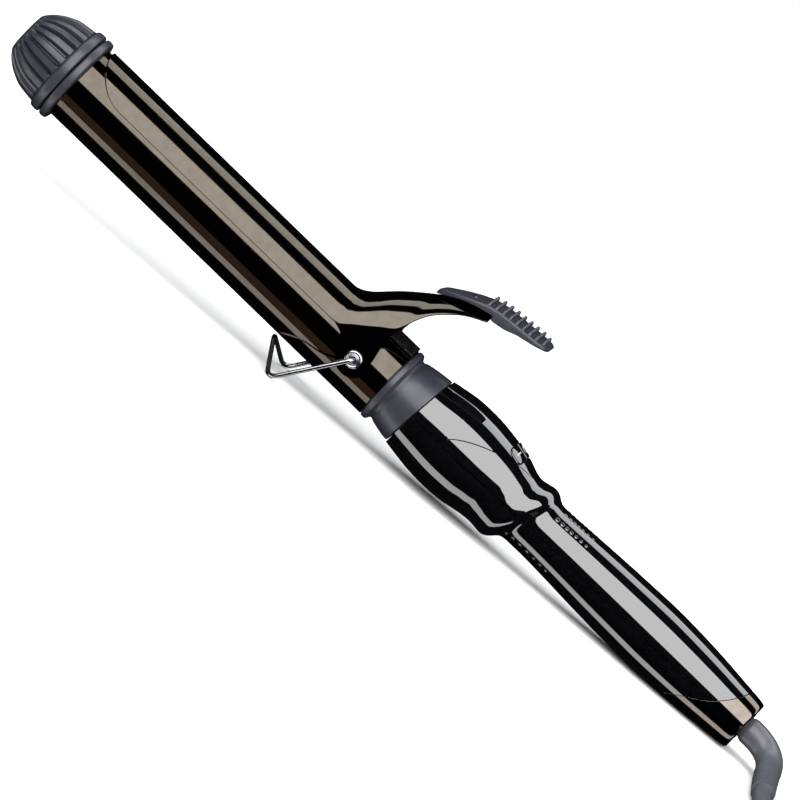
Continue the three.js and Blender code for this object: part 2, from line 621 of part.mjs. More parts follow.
function makeControls() {
  const raised = roundLoft(handleStations, HANDLE_SIDES, BUTTON_LIFT);
  const row = planPlate(roundedRectangle(BUTTON_X, 0, BUTTON_ROW.long, BUTTON_ROW.wide, BUTTON_ROW.corner),
    11, 40, 3);
  BUTTONS.forEach(({ name, low, high }) => {
    const slice = box(BUTTON_X - 5, BUTTON_X + 5, low, high, 11, 40);
    add(iron, `${name}_button`, raised.intersect(row).intersect(slice), BLACK_GLOSS);
    const middle = (low + high) / 2;
    const base = box(BUTTON_X - 2.6, BUTTON_X + 2.6, middle - 2.6, middle + 2.6, BOARD_TOP + GAP, 8.4);
    const stem = post(BUTTON_X, middle, 8.2, 10.1, 1.4, 10);
    add(iron, `${name}_switch`, join(base, stem), STEEL);
  });
  add(iron, 'circuit_board', box(191, 222, -11, 11, BOARD_Z - 0.8, BOARD_TOP), BOARD_GREEN);
  add(iron, 'triac', box(196, 206, -8, -3, BOARD_TOP + GAP, 12.5), STEEL);
  add(iron, 'film_capacitor', box(193.5, 207, 2, 8.5, BOARD_TOP + GAP, 12), COPPER);
  add(iron, 'indicator_lamp', post(219.9, 0, BOARD_TOP + GAP, 9.6, 1.4, 10), CERAMIC);
}

// ---------- wires inside ----------
function insideWire(name, corners, color) {
  const route = new THREE.CatmullRomCurve3(corners.map((p) => new THREE.Vector3(...p))).getPoints(14);
  add(iron, name, sweep(route, () => 0.8, 6), color);
}

function makeInsideWires() {
  insideWire('heater_wire_live', [[122.4, -5, 0], [140, -5, 0], [165, -5.5, 0], [186, -6, -1.5],
    [190.6, -7, -0.5]], finish(0x6b3a1e, 0.6, 0));
  insideWire('heater_wire_neutral', [[122.4, 5, 0], [140, 5, 0], [165, 5.5, 0], [186, 6, -1.5],
    [190.6, 7, -0.5]], finish(0x2a4f8f, 0.6, 0));
  insideWire('sensor_wire', [[112.4, 0, 10.6], [124, 0, 10.6], [135.5, 0, 8], [150, 0, 6], [186, 0, 2.4],
    [190.6, 0, 3.4]], finish(0xd8d4cc, 0.6, 0));
}

// ---------- swivel ----------
function makeSwivel() {
  const bush = roundLoft([[333.4, 9], [335.4, 9], [335.4, 7.4], [345, 7.4]], 20);
  add(iron, 'swivel_bush', cut(bush, rod(320, 350, 6.2, 20)), GREY_PLASTIC);
  const rotor = roundLoft([[312, 4], [327.6, 4], [327.6, 7.6], [333, 7.6], [333, 5.9], [345.2, 5.9]], 20);
  add(iron, 'swivel_rotor', cut(rotor, rod(336, 350, 5, 16)), GREY_PLASTIC);
  [['live', 315], ['neutral', 321]].forEach(([name, x]) => {
    add(iron, `slip_ring_${name}`, tube(x, x + 3.4, 5.2, 4.3, 20), COPPER);
    const blade = box(x + 0.7, x + 2.7, -2, 2, -6.1, -5.6);
    const stem = box(x + 0.7, x + 2.7, 1.6, 2, -9, -5.6);
    add(iron, `brush_${name}`, join(blade, stem), COPPER);
  });
}

// ---------- cord and what is on it, level on the table ----------
const BOOT_NECK = [[178.4, 0, 11.76], [186.4, 0, 11.18]];
const BOOT_NECK_R = 4.5; // the stretch that the swivel grips
const BOOT_R = 5.4;
const BOOT_END_R = 4.65;
const BOOT = [[185.9, 0, 11.21], [188.5, 0, 11], [191.5, 0, 10.72], [195.6, -1, 10], [199.2, -3.3, 8.8],
  [201.6, -6.8, 7.4], [202.8, -11, 6.3], [203.7, -17, 5.5], [204.6, -24, 5.15], [205.8, -33, 4.95],
  [207, -42, 4.8]];
const LEAD = [[207.1, -42.3, 4.75], [208.2, -50, 4.1], [210.6, -58, 3.85], [215.6, -66, 3.85],
  [223, -72.4, 4], [230, -75.2, 4.5], [235.5, -75.9, 4.9]];
const HANK = { left: 260.75, run: 83, middle: -46, inner: 22.5, outer: 30, low: 1.2, layers: 4 };
const HANK_TOP = HANK.low + HANK.layers * CORD_D;
const TIE = { x: 283, wide: 12, thick: 0.8 };
const TAIL_END = [[238.25, -46, 35.3], [240.2, -55.4, 35.4], [246.4, -63.4, 35.6], [255, -67.8, 36],
  [266, -69.4, 36.8], [280, -70.4, 38.6], [294, -71.4, 40.4], [305, -71.9, 41.4], [311.6, -72, 41.6]];
const PLUG = { x: 312, y: -72, z: 41.6, long: 48 };

// A tube along a level route of the cord.
function cordTube(points, steps) {
  const section = new THREE.Shape(Array.from({ length: 10 }, (_, j) => {
    const angle = (2 * Math.PI * j) / 10;
    return new THREE.Vector2(CORD_R * Math.cos(angle), CORD_R * Math.sin(angle));
  }));
  const extrudePath = new THREE.CatmullRomCurve3(points.map((p) => new THREE.Vector3(...p)));
  return solid(new THREE.ExtrudeGeometry(section, { steps, bevelEnabled: false, extrudePath }));
}

function stadium(radius) {
  const shape = new THREE.Shape();
  const right = HANK.left + HANK.run;
  shape.moveTo(HANK.left, HANK.middle - radius);
  shape.lineTo(right, HANK.middle - radius);
  shape.absarc(right, HANK.middle, radius, -Math.PI / 2, Math.PI / 2, false);
  shape.lineTo(HANK.left, HANK.middle + radius);
  shape.absarc(HANK.left, HANK.middle, radius, Math.PI / 2, 1.5 * Math.PI, false);
  return shape;
}

function makeCord() {
  const boot = new THREE.CatmullRomCurve3(BOOT.map((p) => new THREE.Vector3(...p))).getSpacedPoints(22);
  const taper = (t) => BOOT_R - (BOOT_R - BOOT_END_R) * t;
  const neck = BOOT_NECK.map((p) => new THREE.Vector3(...p));
  add(table, 'strain_relief', join(sweep(boot, taper, 12), sweep(neck, () => BOOT_NECK_R, 12)), CORD_GREY);
  add(table, 'cord_lead', cordTube(LEAD, 5), CORD_GREY);
  const hank = cut(planPlate(stadium(HANK.outer + CORD_R), HANK.low, HANK_TOP, 10),
    planPlate(stadium(HANK.inner - CORD_R), 0, 60, 8));
  add(table, 'cord_hank', hank, CORD_GREY);
  add(table, 'cord_tail', cordTube(TAIL_END, 8), CORD_GREY);

  const wide = 2 * (HANK.outer + CORD_R + GAP);
  const high = HANK_TOP - HANK.low + 2 * GAP;
  const band = (grow, depth) => {
    const shape = roundedRectangle(HANK.middle, (HANK.low + HANK_TOP) / 2, wide + 2 * grow,
      high + 2 * grow, 0.4 + grow);
    const geometry = new THREE.ExtrudeGeometry(shape, { depth, bevelEnabled: false, curveSegments: 4 });
    geometry.rotateX(Math.PI / 2);
    geometry.rotateZ(Math.PI / 2);
    geometry.translate(TIE.x - depth / 2, 0, 0);
    return solid(geometry);
  };
  add(table, 'hank_tie', cut(band(TIE.thick, TIE.wide), band(0, TIE.wide + 2)), BLACK_GLOSS);
}

const BLADE = { apart: 12.7, thick: 1.5, high: 6.3, bare: 17.5, root: 3.7, hole: 1.5 };

function makePlug() {
  const { x, y, z } = PLUG;
  const neck = roundLoft([[x, 4.6], [x + 14, 5.6]], 14).translate([0, y, z]);
  const body = loft([[x + 13, 7.5, 6.5], [x + 17, 11, 9], [x + 40, 12, 9.8], [x + PLUG.long, 12, 9.8]]
    .map(([at, wide, high]) => Array.from({ length: 16 }, (_, j) => {
      const angle = (2 * Math.PI * (j + 0.5)) / 16;
      const square = (v) => Math.sign(v) * Math.abs(v) ** 0.55;
      return [at, y - wide * square(Math.sin(angle)), z + high * square(Math.cos(angle))];
    })));
  const face = x + PLUG.long;
  const bar = (off, x0, x1, grow) => {
    const [across, up] = [BLADE.thick / 2 + grow, BLADE.high / 2 + grow];
    return box(x0, x1, y + off - across, y + off + across, z - up, z + up);
  };
  const sides = [['live', -BLADE.apart / 2], ['neutral', BLADE.apart / 2]];
  const slots = sides.map(([, off]) => bar(off, face - BLADE.root - GAP, face + 12, GAP));
  add(table, 'plug_body', cut(join(neck, body), ...slots), CORD_GREY);
  sides.forEach(([name, off]) => {
    const hole = crossRod(face + BLADE.bare - 4, z, y + off - 2, y + off + 2, BLADE.hole, 10);
    add(table, `plug_blade_${name}`, cut(bar(off, face - BLADE.root, face + BLADE.bare, 0), hole), CHROME);
  });
}

makeTip();
makeBarrel();
makeClamp();
makeThumbRest();
makeSpring();
makeEyelet('pivot_eyelet_right', 1);
makeEyelet('pivot_eyelet_left', -1);
makeStand();
makeCollar();
makeHandle();
makeControls();
makeInsideWires();
makeSwivel();
makeCord();
makePlug();

// Tilt the iron, set it down on z = 0 and centre its footprint on the origin.
iron.rotation.y = TILT;
const footprint = new THREE.Box3().setFromObject(iron, true);
iron.position.x = -(footprint.min.x + footprint.max.x) / 2;
iron.position.z = -footprint.min.z;

const curlingIron = new THREE.Group();
curlingIron.add(iron, table);

export default curlingIron;
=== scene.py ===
import math

import bmesh
import bpy
import numpy as np
from mathutils import Matrix, Vector


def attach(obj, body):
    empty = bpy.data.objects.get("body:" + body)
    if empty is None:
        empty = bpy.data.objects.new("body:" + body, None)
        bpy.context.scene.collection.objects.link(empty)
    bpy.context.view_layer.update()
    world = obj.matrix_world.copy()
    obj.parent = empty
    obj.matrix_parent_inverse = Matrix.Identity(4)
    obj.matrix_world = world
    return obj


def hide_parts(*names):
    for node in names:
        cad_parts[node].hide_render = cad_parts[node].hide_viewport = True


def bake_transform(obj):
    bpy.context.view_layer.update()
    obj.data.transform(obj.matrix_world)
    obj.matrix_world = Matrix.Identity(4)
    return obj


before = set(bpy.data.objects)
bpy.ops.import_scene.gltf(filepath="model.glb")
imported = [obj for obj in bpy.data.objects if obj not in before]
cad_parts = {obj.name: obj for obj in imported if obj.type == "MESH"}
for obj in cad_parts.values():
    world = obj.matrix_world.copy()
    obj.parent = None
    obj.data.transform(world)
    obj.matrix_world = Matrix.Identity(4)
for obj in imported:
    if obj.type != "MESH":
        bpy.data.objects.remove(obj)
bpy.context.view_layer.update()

# ---------- the iron's own frame: millimetres along its axis, across it and up ----------
MM = 0.001
TILT = math.radians(4.17)  # the axis falls this much towards the handle
IRON_AT = np.array((-0.158645, 0, 0.03633))  # where the barrel's front end stands, in metres
AXIS = np.array((math.cos(TILT), 0, -math.sin(TILT)))
SIDE = np.array((0.0, 1.0, 0.0))
UP = np.array((math.sin(TILT), 0, math.cos(TILT)))

GAP = 0.3  # between neighbouring pieces
PIVOT = 146.3  # the clamp's and the stand's axis
BARREL_R = 15.875
BARREL_WALL = 1.1
BARREL_END = 161
TIP_FACE = -27
SPOON_R = 16.95
SPOON_ANGLE = math.radians(71.8)
CLAMP_SHEET = 0.75
EAR_IN, EAR_OUT = 16.2, 17
SADDLE_R = 17
STAND_WIRE_R = 0.9
HANDLE_START = 176.9
HANDLE_END = 345
BUTTON_X = 214.6
BUTTON_LONG = 6.4
BUTTON_WIDE = 19.6
BUTTON_CORNER = 2.2
POWER_HALF = 3.1
CORD_D = 7.5
WELD = 2e-6  # metres: points closer than this are made one
SLIVER = 1e-7  # metres: shorter edges are removed
SHARP = 35  # degrees: an edge bent more than this is drawn sharp


def place(points):
    """Points of the iron's frame, in millimetres, as points of the CAD frame in metres."""
    p = np.asarray(points, float).reshape(-1, 3) * MM
    return IRON_AT + p @ np.array((AXIS, SIDE, UP))


def level(points):
    """Points of the CAD frame in millimetres, in metres."""
    return np.asarray(points, float).reshape(-1, 3) * MM


def circle(sides):
    """Angles spaced evenly round a circle."""
    return np.linspace(0, 2 * math.pi, sides, endpoint=False)


def unit(rows):
    """Each row at length 1."""
    return rows / np.linalg.norm(rows, axis=-1, keepdims=True)


def new_object(name, data):
    obj = bpy.data.objects.new(name, data)
    bpy.context.scene.collection.objects.link(obj)
    return obj


# ---------- camera ----------
CAMERA_DISTANCE = 4.7
CAMERA_RISE = math.radians(11)  # above the iron's axis, on its near side
CAMERA_YAW = math.radians(2.6)  # towards the handle
CAMERA_ROLL = math.radians(44.08)  # the axis runs down the picture at this angle
FRAME_WIDTH = 0.2977  # what the picture spans at the iron, in metres
CAMERA_AIM = (168.4, -2.05)  # along the axis, and across it in the picture, in millimetres


def add_camera():
    c = (math.sin(CAMERA_YAW), -math.cos(CAMERA_YAW) * math.cos(CAMERA_RISE),
         math.cos(CAMERA_YAW) * math.sin(CAMERA_RISE))
    towards = Vector(c[0] * AXIS + c[1] * SIDE + c[2] * UP).normalized()
    along = Vector(AXIS)
    along = (along - towards * along.dot(towards)).normalized()
    across = towards.cross(along)
    right = along * math.cos(CAMERA_ROLL) + across * math.sin(CAMERA_ROLL)
    up = across * math.cos(CAMERA_ROLL) - along * math.sin(CAMERA_ROLL)
    aim = Vector(place([[CAMERA_AIM[0], 0, 0]])[0]) + across * CAMERA_AIM[1] * MM
    data = bpy.data.cameras.new("camera")
    data.lens = 36 * CAMERA_DISTANCE / FRAME_WIDTH
    data.clip_end = 100
    camera = new_object("camera", data)
    camera.matrix_world = Matrix.Translation(aim + towards * CAMERA_DISTANCE) @ Matrix(
        (right, up, towards)).transposed().to_4x4()
    bpy.context.scene.camera = camera


add_camera()


# ---------- shapes: (points, faces) in the iron's frame ----------
def section(x, y, z):
    """The points of a cross-section at one place along the iron."""
    return np.column_stack((np.full(len(y), x), y, z))


def rings(loops, closed=False):
    """A skin over rings of points, capped at both ends unless it closes on itself."""
    loops = np.asarray(loops, float)
    count, size = loops.shape[:2]
    faces = []
    for i in range(count if closed else count - 1):
        a, b = i * size, ((i + 1) % count) * size
        faces += [(a + j, a + (j + 1) % size, b + (j + 1) % size, b + j) for j in range(size)]
    if not closed:
        faces += [tuple(range(size)), tuple(range((count - 1) * size, count * size))]
    return loops.reshape(-1, 3), faces


def turned(profile, sides=96, centre=(0, 0, 0), axis=0):
    """A closed profile of [along, radius] turned about an axis through centre."""
    angle = circle(sides)
    loops = [section(a, r * np.cos(angle), r * np.sin(angle)) for a, r in profile]
    points, faces = rings(loops, closed=True)
    return np.roll(points, axis, axis=1) + centre, faces


def sheet(grid, thickness):
    """A closed sheet with one side on a grid of points and the other side a thickness away."""
    grid = np.asarray(grid, float)
    along, over = np.gradient(grid, axis=0), np.gradient(grid, axis=1)
    normal = np.cross(over, along)
    normal /= np.maximum(np.linalg.norm(normal, axis=2, keepdims=True), 1e-9)
    rows, columns = grid.shape[:2]
    under = grid + normal * thickness
    top = np.arange(rows * columns).reshape(rows, columns)
    low = top + rows * columns
    faces = []
    for i in range(rows - 1):
        for j in range(columns - 1):
            faces.append((top[i, j], top[i + 1, j], top[i + 1, j + 1], top[i, j + 1]))
            faces.append((low[i, j], low[i, j + 1], low[i + 1, j + 1], low[i + 1, j]))
    border = [*top[0, :-1], *top[:-1, -1], *top[-1, :0:-1], *top[:0:-1, 0]]
    count = rows * columns
    for a, b in zip(border, border[1:] + border[:1]):
        faces.append((a, b, b + count, a + count))
    return np.concatenate((grid.reshape(-1, 3), under.reshape(-1, 3))), [tuple(map(int, f)) for f in faces]


def sweep(route, radius, sides=20):
    """A round bar along a route, with one radius or one for each point."""
    route = np.asarray(route, float)
    radii = np.broadcast_to(radius, len(route))
    forward = unit(np.gradient(route, axis=0))
    angle = circle(sides)[:, None]
    across = np.cross((0, 0, 1) if abs(forward[0][2]) < 0.9 else (1, 0, 0), forward[0])
    loops = []
    for point, ahead, r in zip(route, forward, radii):
        across = unit(across - ahead * across.dot(ahead))
        lift = np.cross(ahead, across)
        loops.append(point + r * (np.cos(angle) * across + np.sin(angle) * lift))
    return rings(loops)


def plate(outline, y0, y1):
    """A flat plate of an [along, up] outline between two places across the iron."""
    return rings([[(x, y, z) for x, z in outline] for y in (y0, y1)])


def joined(*shapes):
    """Several shapes as one."""
    points, faces = [], []
    start = 0
    for some, these in shapes:
        points.append(some)
        faces += [tuple(start + v for v in face) for face in these]
        start += len(some)
    return np.concatenate(points), faces


def mirrored(shape):
    """The shape and its mirror image across the iron."""
    return joined(shape, (shape[0] * (1, -1, 1), shape[1]))


# ---------- curves ----------
def through(stations, x):
    """Smooth values through rows of [x, value, ...], without overshoot."""
    table = np.asarray(stations, float)
    knots, values = table[:, 0], table[:, 1:]
    step = np.diff(knots)[:, None]
    slope = np.diff(values, axis=0) / step
    same = slope[:-1] * slope[1:] > 0
    mean = np.where(same, 2 * slope[:-1] * slope[1:] / np.where(same, slope[:-1] + slope[1:], 1), 0)
    tangent = np.vstack((slope[:1], mean, slope[-1:]))
    x = np.clip(x, knots[0], knots[-1])
    i = np.clip(np.searchsorted(knots, x) - 1, 0, len(knots) - 2)
    s = (x - knots[i])[..., None] / step[i]
    a, b = values[i], values[i + 1]
    m, n = tangent[i] * step[i], tangent[i + 1] * step[i]
    return a + s * (m + s * (3 * (b - a) - 2 * m - n + s * (2 * (a - b) + m + n)))


def eased(stations, x, reach):
    """As through, with each turn of the curve eased over reach on either side."""
    offsets = np.linspace(-1, 1, 9)
    weights = (1 - offsets ** 2) + 0.05
    total = sum(w * through(stations, np.asarray(x) + reach * o) for w, o in zip(weights, offsets))
    return total / weights.sum()


def smoothstep(x, low, high):
    """0 below low, 1 above high, and a smooth step between them."""
    t = np.clip((np.asarray(x, float) - low) / (high - low), 0, 1)
    return t * t * (3 - 2 * t)


def bend(a, b, c, steps=8):
    """The points of a quadratic curve from a to c that heads for b."""
    t = np.linspace(0, 1, steps + 1)[:, None]
    a, b, c = (np.asarray(p, float) for p in (a, b, c))
    return (1 - t) ** 2 * a + 2 * t * (1 - t) * b + t * t * c


def rounded_route(corners, reach, steps):
    """A route through corners, each rounded over its own reach."""
    corners = [np.asarray(c, float) for c in corners]
    route = [corners[0][None]]
    for before, corner, after, r in zip(corners, corners[1:], corners[2:], reach):
        start = corner + unit(before - corner) * r
        end = corner + unit(after - corner) * r
        route.append(bend(start, corner, end, steps))
    route.append(corners[-1][None])
    return np.concatenate(route)


def rounded_box(x0, x1, y0, y1, corner, steps=8):
    """The outline of a rectangle with round corners, as [x, y] points."""
    points = []
    for k, (x, y) in enumerate(((x1, y1), (x0, y1), (x0, y0), (x1, y0))):
        cx = x - corner if x == x1 else x + corner
        cy = y - corner if y == y1 else y + corner
        for t in np.linspace(0, math.pi / 2, steps):
            angle = t + k * math.pi / 2
            points.append((cx + corner * math.cos(angle), cy + corner * math.sin(angle)))
    return points


# ---------- pieces ----------
def mesh_of(name, shape, to_frame, sharp):
    """A smooth mesh with sharp edges where its faces meet at more than that many degrees."""
    points, faces = shape
    mesh = bpy.data.meshes.new(name)
    mesh.from_pydata(to_frame(points).tolist(), [], faces)
    work = bmesh.new()
    work.from_mesh(mesh)
    bmesh.ops.remove_doubles(work, verts=work.verts, dist=WELD)
    bmesh.ops.dissolve_degenerate(work, edges=work.edges, dist=SLIVER)
    bmesh.ops.recalc_face_normals(work, faces=work.faces)
    work.to_mesh(mesh)
    work.free()
    mesh.shade_smooth()
    mesh.set_sharp_from_angle(angle=math.radians(sharp))
    return mesh


def soft_edges(obj, width):
    """Rounds the sharp edges of an object over a width in millimetres."""
    bevel = obj.modifiers.new("soft edges", "BEVEL")
    bevel.width = width * MM
    bevel.segments = 2
    bevel.limit_method = "ANGLE"
    return bevel


def piece(name, shape, material, body="root", stands_for=(), soften=0.0, to_frame=place,
          sharp=SHARP, rides=True):
    """A mesh that rides a body, stands for CAD nodes, and has its sharp edges rounded by soften mm."""
    obj = new_object(name, mesh_of(name, shape, to_frame, sharp))
    obj.data.materials.append(material)
    if soften:
        bevel = soft_edges(obj, soften)
        bevel.angle_limit = math.radians(40)
        bevel.harden_normals = True
    if rides:
        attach(obj, body)
    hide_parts(*([stands_for] if isinstance(stands_for, str) else stands_for))
    return obj


def carve(obj, *cutters):
    """Cuts each shape out of the piece, for good."""
    for shape in cutters:
        tool = new_object("cutter", mesh_of("cutter", shape, place, SHARP))
        cut = obj.modifiers.new("cut", "BOOLEAN")
        cut.operation = "DIFFERENCE"
        cut.solver = "EXACT"
        cut.object = tool
        obj.modifiers.move(len(obj.modifiers) - 1, 0)
        with bpy.context.temp_override(object=obj, active_object=obj):
            bpy.ops.object.modifier_apply(modifier="cut")
        bpy.data.objects.remove(tool)
    obj.data.shade_smooth()
    obj.data.set_sharp_from_angle(angle=math.radians(SHARP))


# ---------- finishes ----------
def finish(name, dark, light, roughness, metallic=0.0, ior=1.5, grain=900.0, patch=60.0, bump=0.0,
           bump_scale=2500.0, stretch=(1, 1, 1)):
    """A surface whose colour runs between dark and light in fine grain, whose roughness runs between
    two values in larger patches, and which has a relief of bump millimetres."""
    material = bpy.data.materials.new(name)
    material.use_nodes = True
    nodes, links = material.node_tree.nodes, material.node_tree.links
    shader = nodes["Principled BSDF"]
    shader.inputs["Metallic"].default_value = metallic
    shader.inputs["IOR"].default_value = ior
    where = nodes.new("ShaderNodeTexCoord")
    mapping = nodes.new("ShaderNodeMapping")
    mapping.inputs["Scale"].default_value = stretch
    links.new(where.outputs["Object"], mapping.inputs["Vector"])

    def noise(scale, detail):
        node = nodes.new("ShaderNodeTexNoise")
        node.inputs["Scale"].default_value = scale
        node.inputs["Detail"].default_value = detail
        links.new(mapping.outputs["Vector"], node.inputs["Vector"])
        return node.outputs["Fac"]

    ramp = nodes.new("ShaderNodeValToRGB")
    ramp.color_ramp.elements[0].position = 0.35
    ramp.color_ramp.elements[0].color = (*dark, 1)
    ramp.color_ramp.elements[1].position = 0.65
    ramp.color_ramp.elements[1].color = (*light, 1)
    links.new(noise(grain, 4), ramp.inputs["Fac"])
    links.new(ramp.outputs["Color"], shader.inputs["Base Color"])
    spread = nodes.new("ShaderNodeMapRange")
    spread.inputs["From Min"].default_value = 0.3
    spread.inputs["From Max"].default_value = 0.7
    spread.inputs["To Min"].default_value = roughness[0]
    spread.inputs["To Max"].default_value = roughness[1]
    links.new(noise(patch, 5), spread.inputs["Value"])
    links.new(spread.outputs["Result"], shader.inputs["Roughness"])
    if bump:
        relief = nodes.new("ShaderNodeBump")
        relief.inputs["Strength"].default_value = 1
        relief.inputs["Distance"].default_value = bump * MM
        links.new(noise(bump_scale, 3), relief.inputs["Height"])
        links.new(relief.outputs["Normal"], shader.inputs["Normal"])
    return material


PLATED = {"metallic": 1, "grain": 300, "patch": 45, "bump": 0.0012, "bump_scale": 350}
SLEEVED = {"grain": 2200, "patch": 400, "bump": 0.06, "bump_scale": 2200}
BRONZE = finish("bronze_plating", (0.058, 0.049, 0.039), (0.066, 0.057, 0.047), (0.045, 0.09), **PLATED)
CLAMP_BRONZE = finish("clamp_plating", (0.061, 0.053, 0.043), (0.069, 0.06, 0.05), (0.05, 0.1), **PLATED)
CAP_BRONZE = finish("cap_plating", (0.105, 0.09, 0.078), (0.125, 0.108, 0.095), (0.05, 0.1), metallic=1,
                    grain=400, patch=80, bump=0.001, bump_scale=400)
GLOSS_BLACK = finish("gloss_black", (0.0006, 0.0006, 0.0008), (0.0014, 0.0014, 0.0017), (0.02, 0.05),
                     ior=1.95, grain=700, patch=40, bump=0.0003, bump_scale=200)
GREY_PLASTIC = finish("grey_plastic", (0.014, 0.015, 0.021), (0.02, 0.021, 0.029), (0.3, 0.42), grain=2500,
                      patch=300, bump=0.01, bump_scale=4500)
CHROME = finish("chrome_plating", (0.4, 0.4, 0.42), (0.5, 0.5, 0.52), (0.14, 0.24), metallic=1, grain=500,
                patch=120, bump=0.0004, bump_scale=500)
STEEL = finish("zinc_steel", (0.16, 0.16, 0.165), (0.34, 0.34, 0.35), (0.28, 0.5), metallic=1, grain=1800,
               patch=400, bump=0.01)
PAINTED_STEEL = finish("painted_steel", (0.05, 0.052, 0.06), (0.08, 0.082, 0.092), (0.35, 0.5), metallic=1,
                       grain=1800, patch=400, bump=0.01)
SPECKLED_STEEL = finish("speckled_steel", (0.015, 0.014, 0.014), (0.11, 0.1, 0.095), (0.3, 0.55),
                        metallic=1, grain=1300, patch=500, bump=0.02, bump_scale=1500)
ALUMINIUM = finish("extruded_aluminium", (0.48, 0.48, 0.5), (0.66, 0.66, 0.68), (0.3, 0.45), metallic=1,
                   grain=700, patch=200, bump=0.01, bump_scale=1500, stretch=(0.05, 1, 1))
CERAMIC = finish("fired_ceramic", (0.7, 0.68, 0.62), (0.84, 0.82, 0.77), (0.5, 0.75), grain=1800, patch=300,
                 bump=0.03)
COPPER = finish("copper", (0.5, 0.26, 0.13), (0.66, 0.38, 0.2), (0.2, 0.4), metallic=1, patch=300, bump=0.008,
                bump_scale=1800)
BOARD_GREEN = finish("board_mask", (0.015, 0.1, 0.035), (0.035, 0.19, 0.075), (0.25, 0.4), grain=350,
                     patch=200, bump=0.03, bump_scale=500)
CAPACITOR = finish("capacitor_case", (0.36, 0.08, 0.02), (0.5, 0.14, 0.05), (0.2, 0.35), patch=200, bump=0.01)
LAMP_RED = finish("lamp_lens", (0.55, 0.04, 0.03), (0.75, 0.09, 0.06), (0.08, 0.2), grain=600, patch=300,
                  bump=0.004)
SWITCH_BLACK = finish("switch_body", (0.03, 0.03, 0.03), (0.07, 0.07, 0.07), (0.45, 0.6), grain=2500,
                      patch=400, bump=0.02)
SLEEVE = finish("wire_sleeve", (0.45, 0.42, 0.36), (0.68, 0.65, 0.58), (0.7, 0.9), grain=2200, patch=400,
                bump=0.08, bump_scale=2200, stretch=(0.4, 1, 1))
LIVE_SLEEVE = finish("live_sleeve", (0.16, 0.06, 0.02), (0.3, 0.13, 0.06), (0.6, 0.8), **SLEEVED)
NEUTRAL_SLEEVE = finish("neutral_sleeve", (0.02, 0.06, 0.2), (0.06, 0.13, 0.34), (0.6, 0.8), **SLEEVED)
CORD_GREY = finish("cord_rubber", (0.042, 0.044, 0.052), (0.06, 0.063, 0.073), (0.3, 0.42), grain=1800,
                   patch=150, bump=0.015, bump_scale=3000)
STRAP = finish("tie_strap", (0.008, 0.008, 0.009), (0.03, 0.03, 0.032), (0.75, 0.95), grain=2600, patch=500,
               bump=0.12, bump_scale=2400, stretch=(1, 0.35, 0.35))
MARK = finish("button_marks", (0.3, 0.3, 0.31), (0.42, 0.42, 0.43), (0.35, 0.5), grain=2000, patch=300,
              bump=0.004)

# ---------- cord ----------
BOOT = [[178.4, 0, 11.76], [185.9, 0, 11.21], [188.5, 0, 11], [191.5, 0, 10.72], [195.6, -1, 10],
        [199.2, -3.3, 8.8], [201.6, -6.8, 7.4], [202.8, -11, 6.3], [203.7, -17, 5.5], [204.6, -24, 5.15],
        [205.8, -33, 4.95], [207, -42, 4.8]]
LEAD = [[208.2, -50, 4.1], [210.6, -58, 3.85], [215.6, -66, 3.85], [223, -72.4, 4], [230, -75.2, 4.5],
        [238, -76, 4.95], [249, -76, 4.95]]
TAIL_END = [[238.25, -46, 35.3], [240.2, -55.4, 35.4], [246.4, -63.4, 35.6], [255, -67.8, 36],
            [266, -69.4, 36.8], [280, -70.4, 38.6], [294, -71.4, 40.4], [305, -71.9, 41.4],
            [311.6, -72, 41.6], [322, -72, 41.6]]
# Where the hank's straight runs begin, their length, its middle line and its lowest turn's height.
HANK_LEFT, HANK_RUN, HANK_MIDDLE, HANK_LOW = 260.75, 83, -46, 4.95
INNER, OUTER = 22.5, 30  # how far the two lanes of turns lie from the middle line
# The lane and layer of each turn of the hank.
TURNS = [(OUTER, 0), (INNER, 0), (INNER, 1), (OUTER, 1), (OUTER, 2), (INNER, 2), (INNER, 3)]
PLUG = (312, -72, 41.6)


def hank_turns():
    """The turns of the hank: near run, right fold, far run, left fold, up to half the last fold."""
    points = []
    runs = np.linspace(0, HANK_RUN, 4)
    for k, (radius, layer) in enumerate(TURNS):
        last = k == len(TURNS) - 1
        z = HANK_LOW + layer * CORD_D
        next_radius, next_layer = (radius, (TAIL_END[0][2] - HANK_LOW) / CORD_D) if last else TURNS[k + 1]
        next_z = HANK_LOW + next_layer * CORD_D
        points += [(HANK_LEFT + run, HANK_MIDDLE - radius, z) for run in runs[:-1]]
        for angle in np.linspace(-math.pi / 2, math.pi / 2, 9)[:-1]:
            points.append((HANK_LEFT + HANK_RUN + radius * math.cos(angle),
                           HANK_MIDDLE + radius * math.sin(angle), z))
        points += [(HANK_LEFT + run, HANK_MIDDLE + radius, z) for run in runs[:0:-1]]
        for share in np.linspace(0, 1, 9)[:-1]:
            if last and share >= 0.5:
                break
            angle = math.pi * (0.5 + share)
            lane = radius + (next_radius - radius) * smoothstep(share, 0.5, 1)
            height = z + (next_z - z) * smoothstep(share, 0, 0.5)
            points.append((HANK_LEFT + lane * math.cos(angle), HANK_MIDDLE + lane * math.sin(angle),
                           height))
    return points


